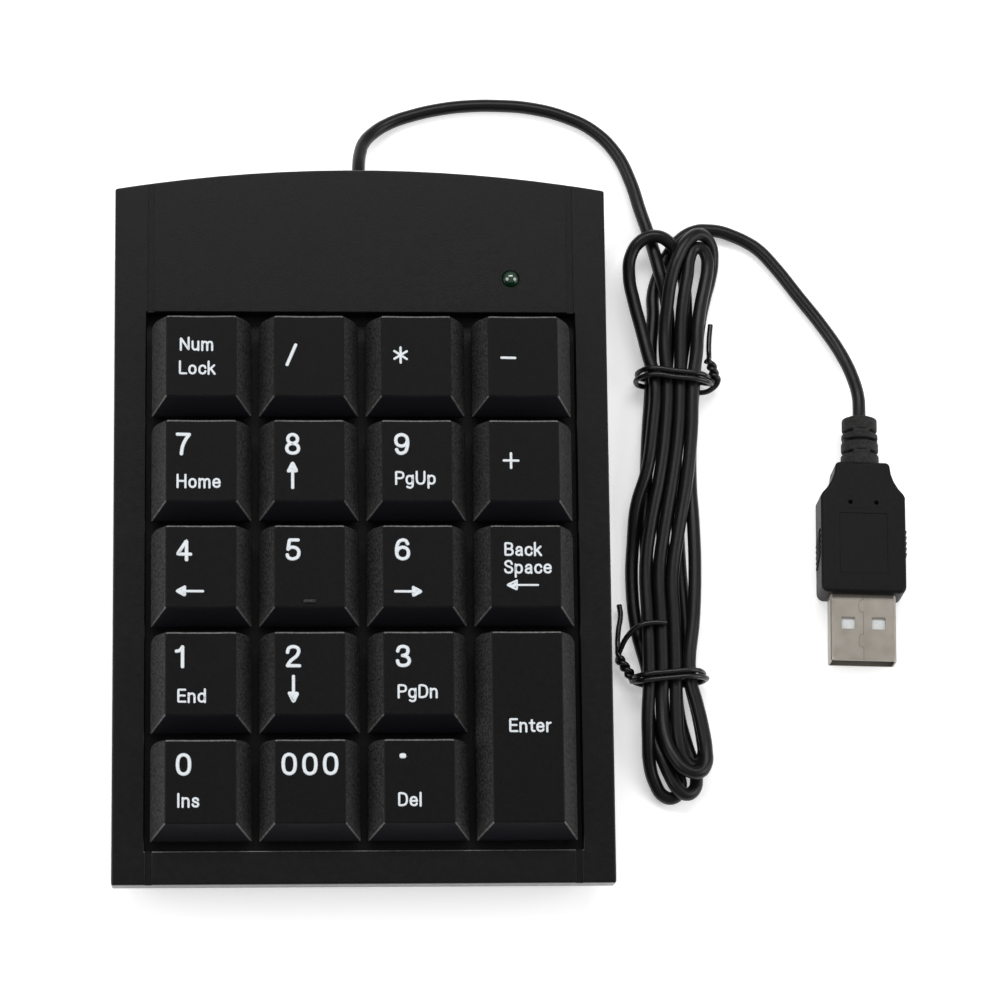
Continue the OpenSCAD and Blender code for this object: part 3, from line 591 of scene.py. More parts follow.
bm = merged("top_case", DECK)
round_off(bm, outer_rim_edges(bm), RIM_ROUNDING, 4)
well = [
    e for e in bm.edges
    if sharp(e, 60)
    and all(on_deck_top(v.co) and abs(v.co.x) < 38.6 and abs(v.co.y) < 48.7 for v in e.verts)
    and any(abs(v.co.x) > 38.4 or abs(v.co.y) > 48.4 for v in e.verts)
]
round_off(bm, well, WELL_ROUNDING, 3)
grooves = [
    e for e in bm.edges
    if sharp(e, 60)
    and all(on_deck_top(v.co) and abs(abs(v.co.x) - GROOVE_X) < 0.65 for v in e.verts)
    and abs(e.verts[0].co.y - e.verts[1].co.y) > 1
]
round_off(bm, grooves, GROOVE_ROUNDING, 2)
for f in bm.faces:
    centre, n = f.calc_center_median(), f.normal
    at_groove = abs(abs(centre.x) - GROOVE_X) < 0.9 and centre.y < -48.4 and 0.1 < abs(n.x)
    at_well = abs(centre.y + WELL_Y) < 0.5 and abs(centre.x) < 38.6 and 0.1 < n.y < 0.95
    on_side = any(abs(v.co.x) > 43.4 or v.co.y < -53.5 or v.co.y > 70 for v in f.verts)
    # Outer walls get the wall finish, whose lighter colour is painted light from the floor's
    # reflection.
    if abs(n.z) < 0.6 and on_side:
        f.material_index = 1
    # Rounded faces at the grooves' fronts and the well's front edge get the painted highlight
    # finish.
    elif 0.1 < n.z < 0.995 and centre.z > -0.5 and (at_groove or at_well):
        f.material_index = 2
top_case = mesh_piece("case_top", bm, [CASE, CASE_WALL_PAINTED_LIGHT, CASE_EDGE_HIGHLIGHT], TO_METRES @ DECK)
add(smooth(top_case, 35), "case", ["top_case"])

bm = merged("bottom_case")
low_rim = [
    e for e in bm.edges
    if sharp(e, 40)
    and all(abs(v.co.z - 1) < 0.02 and (abs(v.co.x) > 41 or abs(v.co.y) > 58.5) for v in e.verts)
    and not any(math.hypot(abs(v.co.x) - 34, abs(v.co.y) - 53.5) < 4.8 for v in e.verts)
]
round_off(bm, low_rim, FOOT_ROUNDING, 3)
bottom_case = mesh_piece("case_bottom", bm, [CASE])
add(smooth(bottom_case, 35), "case", ["bottom_case"])

# ---- grommet and lamp ----

bm = merged("cord_grommet")
collar = [e for e in bm.edges if sharp(e, 57) and all(v.co.y > 64.6 for v in e.verts)]
round_off(bm, collar, 0.3, 3)
add(smooth(mesh_piece("grommet", bm, [RUBBER])), "case", ["cord_grommet"])

bm = merged("lamp_lens", DECK)
bmesh.ops.dissolve_limit(bm, angle_limit=math.radians(0.1), verts=bm.verts, edges=bm.edges)
lamp = smooth(mesh_piece("lamp", bm, [LAMP.material], TO_METRES @ DECK), 50)
add(lamp, "case", ["lamp_lens"])

# ---- keycaps ----

CORNER_LEVELS, CORNER_EASE = (1.0, 1.9, 3.1, 4.6), 0.72
DISH_CUTS, DISH_STEP, DISH_FADE = 6, 0.88, 1.2
HOOK_TALL, HOOK_GAP = 0.85, 0.05
INTO_ROOF = CAP_RISE - CAP_ROOF + 0.2
TAB_Y, TAB_HALF, TAB_FOOT = 14, 0.6, -0.45
BAR_HALF, BAR_Y, BAR_ROUNDING = 1.15, (-5.6, -5), 0.14


def sloped_block(bm, half_w, half_d, top_half_w, front_run, rear_run, top_z):
    """A block with an upright skirt, then four slopes up to a smaller top; returns its faces."""
    before = set(bm.faces)
    block(bm, (-half_w, -half_d, SKIRT_Z), (half_w, half_d, SKIRT_TURN))
    top = max(set(bm.faces) - before, key=lambda f: f.calc_center_median().z)
    grown = bmesh.ops.extrude_face_region(bm, geom=[top])["geom"]
    bmesh.ops.delete(bm, geom=[top], context="FACES_ONLY")
    for v in (g for g in grown if isinstance(g, bmesh.types.BMVert)):
        v.co.x = math.copysign(top_half_w, v.co.x)
        v.co.y = half_d - rear_run if v.co.y > 0 else front_run - half_d
        v.co.z = top_z
    return set(bm.faces) - before


def open_below(bm, faces):
    """Takes the lowest face away and returns the edges round the opening."""
    floor_face = min(faces, key=lambda f: f.calc_center_median().z)
    rim = list(floor_face.edges)
    bmesh.ops.delete(bm, geom=[floor_face], context="FACES_ONLY")
    return rim


def dish_height(x):
    """Height of a keycap's dished top at a distance from its middle."""
    return min(CAP_RISE, CAP_RISE + DISH_R - DISH_DEPTH - math.sqrt(DISH_R ** 2 - x ** 2))


def cap_shell(depth):
    """A hollow keycap with rounded corners, a softened rim and a dished top."""
    half = depth / 2
    bm = bmesh.new()
    sloped_block(bm, CAP_W / 2, half, CAP_TOP_W / 2, CAP_FRONT_RUN, CAP_REAR_RUN, CAP_RISE)
    upright = [e for e in bm.edges if abs(e.verts[0].co.z - e.verts[1].co.z) > 0.1]
    round_off(bm, [e for e in upright if e.verts[0].co.y > 0], REAR_CORNER, 5)
    for level in CORNER_LEVELS:
        slice_at(bm, (0, 0, level), (0, 0, 1))
    for v in bm.verts:
        rise = max(0, (v.co.z - SKIRT_TURN) / (CAP_RISE - SKIRT_TURN))
        corner_x = CAP_W / 2 + rise * (CAP_TOP_W - CAP_W) / 2
        corner_y = half - rise * CAP_REAR_RUN
        if min(v.co.y - corner_y, abs(v.co.x) - corner_x) > -REAR_CORNER - 0.01:
            corner = (math.copysign(corner_x, v.co.x), corner_y, v.co.z)
            v.co = v.co.lerp(corner, CORNER_EASE * math.sqrt(rise))
    upright = [e for e in bm.edges if abs(e.verts[0].co.z - e.verts[1].co.z) > 0.1]
    front = [e for e in upright if e.verts[0].co.y < 0 and sharp(e, 20)]
    round_off(bm, front, FRONT_CORNER, 2)
    rim = [e for e in bm.edges if all(v.co.z > CAP_RISE - 0.001 for v in e.verts)]
    round_off(bm, rim, RIM_ROUND, 3)
    for i in range(-DISH_CUTS, DISH_CUTS + 1):
        slice_at(bm, (i * DISH_STEP, 0, 0), (1, 0, 0))
    for v in bm.verts:
        share = min(1, max(0, (v.co.z - CAP_RISE + DISH_FADE) / DISH_FADE))
        v.co.z += (dish_height(v.co.x) - CAP_RISE) * share
    floor_faces = [f for f in bm.faces if f.calc_center_median().z < SKIRT_Z + 0.001]
    bmesh.ops.delete(bm, geom=floor_faces, context="FACES_ONLY")
    outside = [e for e in bm.edges if len(e.link_faces) == 1]
    loose = [e for e in bm.edges if not e.link_faces]
    bmesh.ops.delete(bm, geom=loose, context="EDGES")
    inner = sloped_block(
        bm, CAP_W / 2 - CAP_WALL, half - CAP_WALL, CAP_TOP_W / 2 - CAP_WALL,
        CAP_FRONT_RUN, CAP_REAR_RUN, CAP_RISE - CAP_ROOF,
    )
    bmesh.ops.reverse_faces(bm, faces=list(inner))
    inside = open_below(bm, inner)
    bmesh.ops.bridge_loops(bm, edges=outside + inside)
    return bm


def add_stem(bm):
    """Square stem with two snap hooks under the plate."""
    half = STEM_W / 2
    block(bm, (-half, -half, STEM_Z), (half, half, INTO_ROOF))
    low = (-half - HOOK_OUT, -half, PLATE_Z - HOOK_TALL)
    high = (half + HOOK_OUT, half, PLATE_Z - HOOK_GAP)
    for v in block(bm, low, high):
        if v.co.z < PLATE_Z - 0.5:
            v.co.x = math.copysign(half + 0.01, v.co.x)


def add_tabs(bm):
    """Two slotted tabs that hold the stabiliser's hooks under the tall key."""
    for y in (-TAB_Y, TAB_Y):
        for left, foot, right, top in (
            (-2.6, TAB_FOOT, -1.5, INTO_ROOF), (1.4, TAB_FOOT, 2.6, INTO_ROOF),
            (-1.55, TAB_FOOT, 1.45, -0.1), (-1.55, 1.3, 1.45, INTO_ROOF),
        ):
            block(bm, (left, y - TAB_HALF, foot), (right, y + TAB_HALF, top))


def keycap(node, col, row, depth=CAP_D):
    """A detailed keycap in its CAD node's place; its side and front slopes get lighter finishes as
    painted light, its front corners and rear rim a painted highlight.
    """
    place = DECK @ Matrix.Translation(((col - 1.5) * PITCH, (2 - row) * PITCH, 0))
    bm = cap_shell(depth)
    bm.normal_update()
    for f in bm.faces:
        n, centre = f.normal, f.calc_center_median()
        if n.z < 0.02 or centre.z < SKIRT_TURN:
            continue
        steep = n.z < 0.8
        front_edge = steep and 0.2 < abs(n.x) < 0.88 and n.y < -0.2
        over_top = centre.z > CAP_RISE - 1 and abs(centre.x) < CAP_TOP_W / 2 - 0.2
        # Painted highlight on the front corner bevels and the rear rim; painted light on the side
        # slopes and the front slopes.
        if front_edge or (n.y > 0.15 and over_top):
            f.material_index = 3
        elif steep and abs(n.x) > 0.35:
            f.material_index = 1
        elif steep and n.y < -0.3:
            f.material_index = 2
    add_stem(bm)
    if depth > CAP_D:
        add_tabs(bm)
    if node == "key_5":
        bar = block(
            bm, (-BAR_HALF, BAR_Y[0], CAP_RISE - 0.7), (BAR_HALF, BAR_Y[1], CAP_RISE - 0.01),
        )
        # The homing bar takes the side slopes' lighter finish, painted light that shows it as a
        # light line.
        paint(faces_of(bar), 1)
        ridge = [e for e in edges_of(bar) if max(v.co.z for v in e.verts) > CAP_RISE - 0.1]
        round_off(bm, ridge, BAR_ROUNDING, 3)
    finishes = [KEY_TOP, KEY_SIDE_PAINTED_LIGHT, KEY_FRONT_PAINTED_LIGHT, KEY_EDGE_HIGHLIGHT]
    piece = mesh_piece("cap_" + node[4:], bm, finishes, TO_METRES @ place)
    add(smooth(piece, 32), node, [node])
    return place


# ---- dome mat: a sheet with one rubber dome for each key, under its stem ----

MAT_Z, MAT_TOP = -10, -9.5
DOME_R, DOME_TOP_R, DOME_WALL, PLUNGER_T = 4.5, 2.4, 0.6, 1.1


def rubber_dome(node, place):
    """One hollow dome from the mat's underside up to the stem's foot."""
    bm = bmesh.new()
    rims = []
    for shrink, top in ((0, STEM_Z), (DOME_WALL, STEM_Z - PLUNGER_T)):
        cone = bmesh.ops.create_cone(
            bm, cap_ends=True, segments=40, radius1=DOME_R - shrink, radius2=DOME_TOP_R - shrink,
            depth=top - MAT_Z, matrix=Matrix.Translation((0, 0, (top + MAT_Z) / 2)),
        )["verts"]
        faces = faces_of(cone)
        rims += open_below(bm, faces)
        if shrink:
            bmesh.ops.reverse_faces(bm, faces=[f for f in faces if f.is_valid])
        else:
            lid = [e for e in edges_of(cone) if all(v.co.z > top - 0.01 for v in e.verts)]
            round_off(bm, lid, 0.3, 3)
    bmesh.ops.bridge_loops(bm, edges=rims)
    dome = smooth(mesh_piece("dome_" + node[4:], bm, [DOMES], TO_METRES @ place))
    add(dome, "case")
    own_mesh(dome)


# ---- legends: strokes on a grid where a capital is 10 high ----
# "~" starts a smooth stroke, "o" a smooth closed one and "-" a straight one

BOWL = "o2.7,.7 4.2,1.5 4.7,3.65 4.2,5.8 2.7,6.6 1.2,5.8 .7,3.65 1.2,1.5"
GLYPHS = {
    "0": (6.3, "o2.9,.7 4.6,1.8 5.1,5 4.6,8.2 2.9,9.3 1.2,8.2 .7,5 1.2,1.8"),
    "1": (4.6, "~.7,7.3 2.0,7.7 2.9,9.2", "-2.95,9.3 2.95,.4"),
    "2": (
        6.2, "~.8,6.7 1.3,8.6 2.9,9.3 4.6,8.6 4.9,6.9 4.0,4.9 2.1,3.1 .8,.8",
        "-.8,.7 5.2,.7",
    ),
    "3": (
        6.2, "~.8,7.2 1.4,8.8 2.8,9.3 4.3,8.7 4.6,7.1 4,5.7 2.6,5.2",
        "~2.6,5.2 4.3,4.6 5.1,3 4.5,1.3 2.8,.7 1.2,1.2 .7,2.8",
    ),
    "4": (6.3, "-5.6,2.9 .8,2.9 4.1,9.1 4.1,.4"),
    "5": (
        6.2, "-4.8,9.3 1.6,9.3 1.1,5.1",
        "~1.1,5.1 2.1,5.9 3.3,6 4.7,5.1 5.1,3.3 4.5,1.5 2.8,.7 1.3,1.2 .8,2.5",
    ),
    "6": (
        6.2,
        "~4.8,7.6 4.2,8.9 3,9.3 1.5,8.4 .8,6 .7,3.6 1.2,1.6 2.9,.7 4.6,1.5 5.1,3.4 4.6,5.2"
        " 3,6 1.4,5.2 .8,3.7",
    ),
    "7": (6, "-.7,9.3 5.1,9.3", "~5.1,9.2 3.7,6.8 2.6,3.7 2.2,.4"),
    "8": (
        6.2, "o2.9,5.2 4.3,5.9 4.7,7.3 4.2,8.7 2.9,9.3 1.6,8.7 1.1,7.3 1.5,5.9",
        "o2.9,5.2 4.5,4.5 5.1,2.9 4.5,1.3 2.9,.7 1.3,1.3 .7,2.9 1.3,4.5",
    ),
    "9": (
        6.2,
        "~1,2.4 1.6,1.1 2.8,.7 4.3,1.6 5,4 5.1,6.4 4.6,8.4 2.9,9.3 1.2,8.5 .7,6.6 1.2,4.8"
        " 2.8,4 4.4,4.8 5,6.3",
    ),
    "N": (7, "-.7,.4 .7,9.3 5.7,.7 5.7,9.6"),
    "L": (5.5, "-.7,9.6 .7,.7 4.8,.7"),
    "H": (7, "-.7,.4 .7,9.6", "-5.7,.4 5.7,9.6", "-.7,5.1 5.7,5.1"),
    "P": (
        6.2, "-.7,.4 .7,9.3 3.3,9.3", "~3.3,9.3 4.9,8.7 5.4,7 4.9,5.3 3.3,4.7",
        "-3.3,4.7 .7,4.7",
    ),
    "U": (7, "~.7,9.6 .7,5.5 .8,3.2 1.5,1.4 3.2,.7 4.9,1.4 5.6,3.2 5.7,5.5 5.7,9.6"),
    "E": (6, "-5,9.3 .7,9.3 .7,.7 5.2,.7", "-.7,5.1 4.7,5.1"),
    "B": (
        6.5, "-3.2,9.3 .7,9.3 .7,.7 3.4,.7", "-.7,5.1 3.3,5.1",
        "~3.2,9.3 4.6,8.7 5,7.2 4.6,5.7 3.2,5.1", "~3.3,5.1 4.9,4.5 5.4,2.9 4.9,1.3 3.4,.7",
    ),
    "S": (
        6.3,
        "~5.1,7.2 4.4,8.8 2.9,9.3 1.4,8.6 .9,7.2 1.6,5.9 3.2,5.1 4.8,4.3 5.3,2.8 4.6,1.2"
        " 3,.7 1.3,1.3 .7,2.9",
    ),
    "D": (
        6.7, "-2.9,9.3 .7,9.3 .7,.7 2.9,.7",
        "~2.9,9.3 4.7,8.5 5.5,6.6 5.6,5 5.5,3.4 4.7,1.5 2.9,.7",
    ),
    "I": (2.2, "-.7,.4 .7,9.6"),
    "u": (5.7, "~.7,6.8 .7,4.4 .8,2.2 1.5,1 2.6,.7 3.8,1.3 4.3,2.6", "-4.4,6.8 4.4,.4"),
    "m": (
        8.4, "-.7,6.8 .7,.4", "~.7,4.5 1.3,6 2.5,6.6 3.5,6.1 3.9,4.5", "-3.9,4.5 3.9,.4",
        "~3.9,4.5 4.5,6 5.7,6.6 6.7,6.1 7.1,4.5", "-7.1,4.5 7.1,.4",
    ),
    "n": (5.7, "-.7,6.8 .7,.4", "~.7,4.5 1.3,6 2.7,6.6 3.9,6.1 4.4,4.5", "-4.4,4.5 4.4,.4"),
    "o": (5.9, BOWL),
    "c": (5.4, "~4.6,4.9 4,6.2 2.7,6.6 1.2,5.8 .7,3.65 1.2,1.5 2.7,.7 4,1.1 4.6,2.4"),
    "k": (5.3, "-.7,9.6 .7,.4", "-4.3,6.8 .9,3.2", "-2.1,4.3 4.6,.4"),
    "e": (
        5.8, "-.9,3.8 4.7,3.8",
        "~4.7,3.8 4.2,5.8 2.7,6.6 1.2,5.8 .7,3.65 1.2,1.5 2.8,.7 4.1,1.1 4.6,2",
    ),
    "g": (6, BOWL, "~4.7,6.8 4.7,3 4.6,-.4 4,-1.8 2.6,-2.2 1.1,-1.5"),
    "p": (6, BOWL, "-.7,6.8 .7,-2.2"),
    "r": (4, "-.7,6.8 .7,.4", "~.7,4.4 1.3,6 2.9,6.6"),
    "t": (3.9, "~1.7,8.6 1.7,4.4 1.8,1.9 2.3,.9 3.4,.8", "-.4,6.5 3.2,6.5"),
    "a": (
        5.5, "~.9,5.1 1.5,6.2 2.6,6.6 3.8,6.1 4.1,4.9 4.1,2.6 4.3,.6",
        "~4.1,4.1 2.4,3.8 1,3.2 .7,2 1.2,1 2.4,.7 3.6,1.3 4.1,2.5",
    ),
    "d": (6, BOWL, "-4.7,9.6 4.7,.4"),
    "s": (
        5.2,
        "~4.1,5.2 3.6,6.2 2.4,6.6 1.2,6.1 1,5.1 1.6,4.2 2.8,3.7 4,3 4.2,1.9 3.6,.9 2.4,.7"
        " 1.2,1.1 .7,2.2",
    ),
    "l": (2.2, "-.7,9.6 .7,.4"),
    "/": (4.4, "-.5,-.2 3.4,9.8"),
    "*": (9, "-1.1,2.2 7.9,7.4", "-1.1,7.4 7.9,2.2", "-4.5,-.3 4.5,9.9"),
    "-": (9, "-.7,4.6 8.6,4.6"),
    "+": (9, "-.4,4.6 8.8,4.6", "-4.6,.2 4.6,9"),
    ".": (3, "-1.1,1.3 1.6,1.3"),
    "^": (5.7, "-2.7,.4 2.7,9", "-.9,7.7 4.5,7.7 2.7,11.4 .9,7.7", "-2,8.4 3.4,8.4 2.7,10"),
    "v": (5.7, "-2.7,11.6 2.7,3", "-.9,4.3 4.5,4.3 2.7,.6 .9,4.3", "-2,3.6 3.4,3.6 2.7,2"),
    "<": (12, "-3,4 12,4", "-4.3,5.9 4.3,2.1 .8,4 4.3,5.9", "-3.6,4.7 3.6,3.3 2,4"),
    ">": (12, "-0,4 9,4", "-7.7,5.9 7.7,2.1 11.2,4 7.7,5.9", "-8.4,4.7 8.4,3.3 10,4"),
    " ": (2.6,),
}


def stroke_points(code):
    """The points of one stroke, a curve sampled or the corners of a straight one eased."""
    kind = code[0]
    points = [Vector((*map(float, p.split(",")), 0)) for p in code[1:].split()]
    if kind == "-":
        eased = [points[0]]
        for before, here, after in zip(points, points[1:], points[2:]):
            enter, leave = (
                here.lerp(end, min(0.45 / (end - here).length, 0.4)) for end in (before, after)
            )
            eased += [enter, here * 0.6 + (enter + leave) * 0.2, leave]
        return eased + [points[-1]], False
    closed = kind == "o"
    count = len(points)
    sampled = []
    for i in range(count if closed else count - 1):
        if closed:
            p = [points[(i + k) % count] for k in (-1, 0, 1, 2)]
        else:
            p = [points[min(max(i + k, 0), count - 1)] for k in (-1, 0, 1, 2)]
        for t in (0, 1 / 3, 2 / 3):
            bend = (2 * p[0] - 5 * p[1] + 4 * p[2] - p[3]) * t * t
            twist = (3 * p[1] - p[0] - 3 * p[2] + p[3]) * t ** 3
            sampled.append(0.5 * (2 * p[1] + (p[2] - p[0]) * t + bend + twist))
    if not closed:
        sampled.append(points[-1])
    return sampled, closed


def text_strokes(text, left, base, height, weight, squeeze=1.0, gap=0.0):
    """Strokes of a line of text: points in mm, stroke width and whether they close."""
    strokes, x, unit = [], left, height / 10
    for letter in text:
        advance, *codes = GLYPHS[letter]
        for code in codes:
            points, closed = stroke_points(code)
            line = [(x + p.x * unit * squeeze, base + p.y * unit) for p in points]
            strokes.append((line, weight, closed))
        x += (advance + gap) * unit * squeeze
    return strokes


# How far beyond a stroke's end, and how wide there, in widths of the stroke
ROUND_END = [(0.14, 0.96), (0.3, 0.78), (0.42, 0.46)]
FILM, FILM_LIFT, FILM_FLAT = 0.035, 0.004, 0.16


def print_legend(name, body, place, strokes):
    """Prints strokes on a keycap's top as a thin raised film with rounded ends."""
    curve = bpy.data.curves.new(name, "CURVE")
    curve.dimensions = "3D"
    curve.bevel_resolution = 1
    curve.bevel_depth = 1
    curve.use_fill_caps = True
    for points, width, closed in strokes:
        radius = [width / 2] * len(points)
        if not closed:
            first, last = Vector(points[0]), Vector(points[-1])
            out_first = (first - Vector(points[1])).normalized()
            out_last = (last - Vector(points[-2])).normalized()
            head = [tuple(first + out_first * width * e) for e, _ in reversed(ROUND_END)]
            tail = [tuple(last + out_last * width * e) for e, _ in ROUND_END]
            points = head + points + tail
            taper = [width / 2 * r for _, r in ROUND_END]
            radius = taper[::-1] + radius + taper
        spline = curve.splines.new("POLY")
        spline.points.add(len(points) - 1)
        for point, (x, y), r in zip(spline.points, points, radius):
            point.co = (x, y, 0, 1)
            point.radius = r
        spline.use_cyclic_u = closed
    shape = bpy.data.objects.new(name + "_strokes", curve)
    scene.collection.objects.link(shape)
    depsgraph = bpy.context.evaluated_depsgraph_get()
    mesh = bpy.data.meshes.new_from_object(shape.evaluated_get(depsgraph))
    bpy.data.objects.remove(shape)
    bm = bmesh.new()
    bm.from_mesh(mesh)
    bpy.data.meshes.remove(mesh)
    for v in bm.verts:
        v.co.z = dish_height(v.co.x) + FILM_LIFT + FILM * max(-1, min(1, v.co.z / FILM_FLAT))
    for f in bm.faces:
        f.smooth = True
    add(mesh_piece(name, bm, [INK], TO_METRES @ place), body)


BOLD, PLAIN = 0.66, 0.41
DIGIT, DIGIT_BASE, WORD = 3.95, 1.95, 2.45


def digit(text, left, gap=1.6):
    """The bold digits at a keycap's rear left."""
    return text_strokes(text, left, DIGIT_BASE, DIGIT, BOLD, 1.2, gap)


def word(text, base, left):
    """A word in the plain weight."""
    return text_strokes(text, left, base, WORD, PLAIN, 1.12, 0.55)


LEGENDS = {
    "key_num_lock": (0, 0, word("Num", 1.85, -3.85) + word("Lock", -2.5, -4.0)),
    "key_divide": (1, 0, text_strokes("/", -4.15, -0.65, 3.65, 0.62, 1.45)),
    "key_multiply": (2, 0, text_strokes("*", -4.2, -0.2, 2.7, 0.46, 1.2)),
    "key_minus": (3, 0, text_strokes("-", -4, -0.7, 2.9, 0.5, 1.05)),
    "key_7": (0, 1, digit("7", -4.55) + word("Home", -4.05, -4.35)),
    "key_8": (1, 1, digit("8", -4.3) + text_strokes("^", -4.05, -4.15, 4.1, 0.6)),
    "key_9": (2, 1, digit("9", -4.05) + word("PgUp", -3.45, -3.9)),
    "key_plus": (3, 1, text_strokes("+", -3.75, -0.45, 3.0, 0.48, 1.02)),
    "key_4": (0, 2, digit("4", -4.5) + text_strokes("<", -4.6, -5.15, 4.1, 0.5)),
    "key_5": (1, 2, digit("5", -4.3)),
    "key_6": (2, 2, digit("6", -4.05) + text_strokes(">", -4, -5.25, 4.1, 0.5)),
    "key_backspace": (3, 2, word("Back", 2.75, -3.75) + word("Space", -0.45, -3.85)
                      + text_strokes("<", -3.7, -4.2, 4.3, 0.4, 1.13)),
    "key_1": (0, 3, digit("1", -4.6) + word("End", -4.25, -4.1)),
    "key_2": (1, 3, digit("2", -4.3) + text_strokes("v", -4, -4.4, 4.1, 0.6)),
    "key_3": (2, 3, digit("3", -4.05) + word("PgDn", -3.55, -3.75)),
    "key_enter": (3, 3.5, word("Enter", -0.1, -3.3)),
    "key_0": (0, 4, digit("0", -4.35) + word("Ins", -3.6, -4.05)),
    "key_triple_zero": (1, 4, digit("000", -5.05, 1.3)),
    "key_decimal": (2, 4, text_strokes(".", -3.75, 4.5, 6.2, 1.0) + word("Del", -3.55, -3.8)),
}
for node, (col, row, strokes) in LEGENDS.items():
    place = keycap(node, col, row, CAP_D + PITCH if node == "key_enter" else CAP_D)
    rubber_dome(node, place)
    print_legend("legend_" + node[4:], node, place, strokes)

bm = merged("dome_mat", DECK)
slice_at(bm, (0, 0, MAT_TOP), (0, 0, 1), clear_outer=True)
open_edges = [e for e in bm.edges if len(e.link_faces) == 1]
bmesh.ops.triangle_fill(bm, edges=open_edges, use_beauty=False, normal=(0, 0, 1))
dome_sheet = mesh_piece("dome_sheet", bm, [DOMES], TO_METRES @ DECK)
add(dome_sheet, "case", ["dome_mat"])

# ---- plug ----

GRIP_H, GRIP_MID = 8, 4
NECK_END = 24.6
RING_SPANS = ((24.4, 26.75), (27.25, 29.1), (29.6, 30.8), (31.25, 33.7))
RING_R, RING_STEP, SLOT_HALF = 3.5, 0.09, 1.5
GRIP_HALF = 7.75
PANEL_X, PANEL_Y, PANEL_GROOVE, PANEL_DEPTH = 4.4, (3.5, 14.9), 0.14, -0.1
RIDGES, RIDGE_Y, RIDGE_PITCH, RIDGE_LEAN, RIDGE_SIZE = 5, 6.6, 1.05, -24, (0.55, 0.42, 5.6)
HOLE_X, HOLE_Y, HOLE_R = (-2.35, 2.4), 16.9, 0.42


def grip_outline(bm):
    """The grip seen from above: a straight body, hollow shoulders and a neck."""
    right = [
        (GRIP_HALF, 0), (GRIP_HALF, 18.1), (7.4, 18.75), (6.55, 19.7), (5.75, 21), (5.2, 22.5),
        (4.9, NECK_END),
    ]
    points = right + [(-x, y) for x, y in reversed(right)]
    return bm.faces.new([bm.verts.new((x, y, 0)) for x, y in points])


def grip_body():
    """The moulded grip with soft edges and a sunken panel on each side."""
    bm = bmesh.new()
    face = grip_outline(bm)
    face.normal_update()
    if face.normal.z > 0:
        face.normal_flip()
    raised = bmesh.ops.extrude_face_region(bm, geom=[face])["geom"]
    for v in (g for g in raised if isinstance(g, bmesh.types.BMVert)):
        v.co.z = GRIP_H
    bmesh.ops.recalc_face_normals(bm, faces=bm.faces)
    corners = [e for e in bm.edges if abs(e.verts[0].co.z - e.verts[1].co.z) > 1]
    round_off(bm, [e for e in corners if e.verts[0].co.y < 0.1], 1.3, 4)
    corners = [e for e in bm.edges if abs(e.verts[0].co.z - e.verts[1].co.z) > 1]
    round_off(bm, [e for e in corners if e.verts[0].co.y > NECK_END - 0.1], 0.7, 3)
    rims = [e for e in bm.edges if abs(e.verts[0].co.z - e.verts[1].co.z) < 0.01]
    round_off(bm, rims, 0.6, 3)
    for x in (-PANEL_X, PANEL_X):
        slice_at(bm, (x, 0, 0), (1, 0, 0))
    for y in PANEL_Y:
        slice_at(bm, (0, y, 0), (0, 1, 0))
    middle = Vector((0, sum(PANEL_Y) / 2))
    panels = [
        f for f in bm.faces
        if abs(f.normal.z) > 0.99 and (f.calc_center_median().xy - middle).length < 1
    ]
    bmesh.ops.inset_individual(bm, faces=panels, thickness=PANEL_GROOVE, depth=PANEL_DEPTH)
    return bm


def side_ridges(bm):
    """Slanting finger ridges on both sides of the grip."""
    shape = Matrix.Rotation(math.radians(RIDGE_LEAN), 4, "X") @ Matrix.Diagonal((*RIDGE_SIZE, 1))
    for x in (-GRIP_HALF, GRIP_HALF):
        for i in range(RIDGES):
            place = Matrix.Translation((x, RIDGE_Y + i * RIDGE_PITCH, GRIP_MID + 0.4))
            bar = bmesh.ops.create_cube(bm, size=1, matrix=place @ shape)["verts"]
            round_off(bm, edges_of(bar), 0.16, 2)


def strain_relief(bm):
    """Four collars on a core, joined at the top and bottom or at the sides in turn."""
    along = Matrix.Rotation(math.radians(-90), 4, "X")
    spans = [(24, 34.1, 2.3)]
    spans += [(a, b, RING_R - RING_STEP * i) for i, (a, b) in enumerate(RING_SPANS)]
    for low, high, radius in spans:
        ring = bmesh.ops.create_cone(
            bm, cap_ends=True, segments=40, radius1=radius, radius2=radius, depth=high - low,
            matrix=Matrix.Translation((0, (low + high) / 2, GRIP_MID)) @ along,
        )["verts"]
        ends = [e for e in edges_of(ring) if abs(e.verts[0].co.y - e.verts[1].co.y) < 0.01]
        round_off(bm, ends, 0.32, 3)
    for i, (before, after) in enumerate(zip(RING_SPANS, RING_SPANS[1:])):
        low, high = before[1] - 0.4, after[0] + 0.4
        reach = RING_R - RING_STEP * i - 0.35
        if i == 1:
            block(bm, (-reach, low, GRIP_MID - SLOT_HALF), (reach, high, GRIP_MID + SLOT_HALF))
        else:
            block(bm, (-SLOT_HALF, low, GRIP_MID - reach), (SLOT_HALF, high, GRIP_MID + reach))


# Sight holes: near-black discs laid on the grip's faces, painted shade standing in for the holes'
# depth.
SIGHT_HOLE_SHADE = moulded(
    "sight_hole_painted_shade", (0.0006, 0.0006, 0.0006), (0.0012, 0.0012, 0.0012), 0.9, 2000, 0.01,
    Specular_IOR_Level=0.02,
)
bm = grip_body()
side_ridges(bm)
strain_relief(bm)
for f in bm.faces:
    f.material_index = int(f.calc_center_median().y > NECK_END)
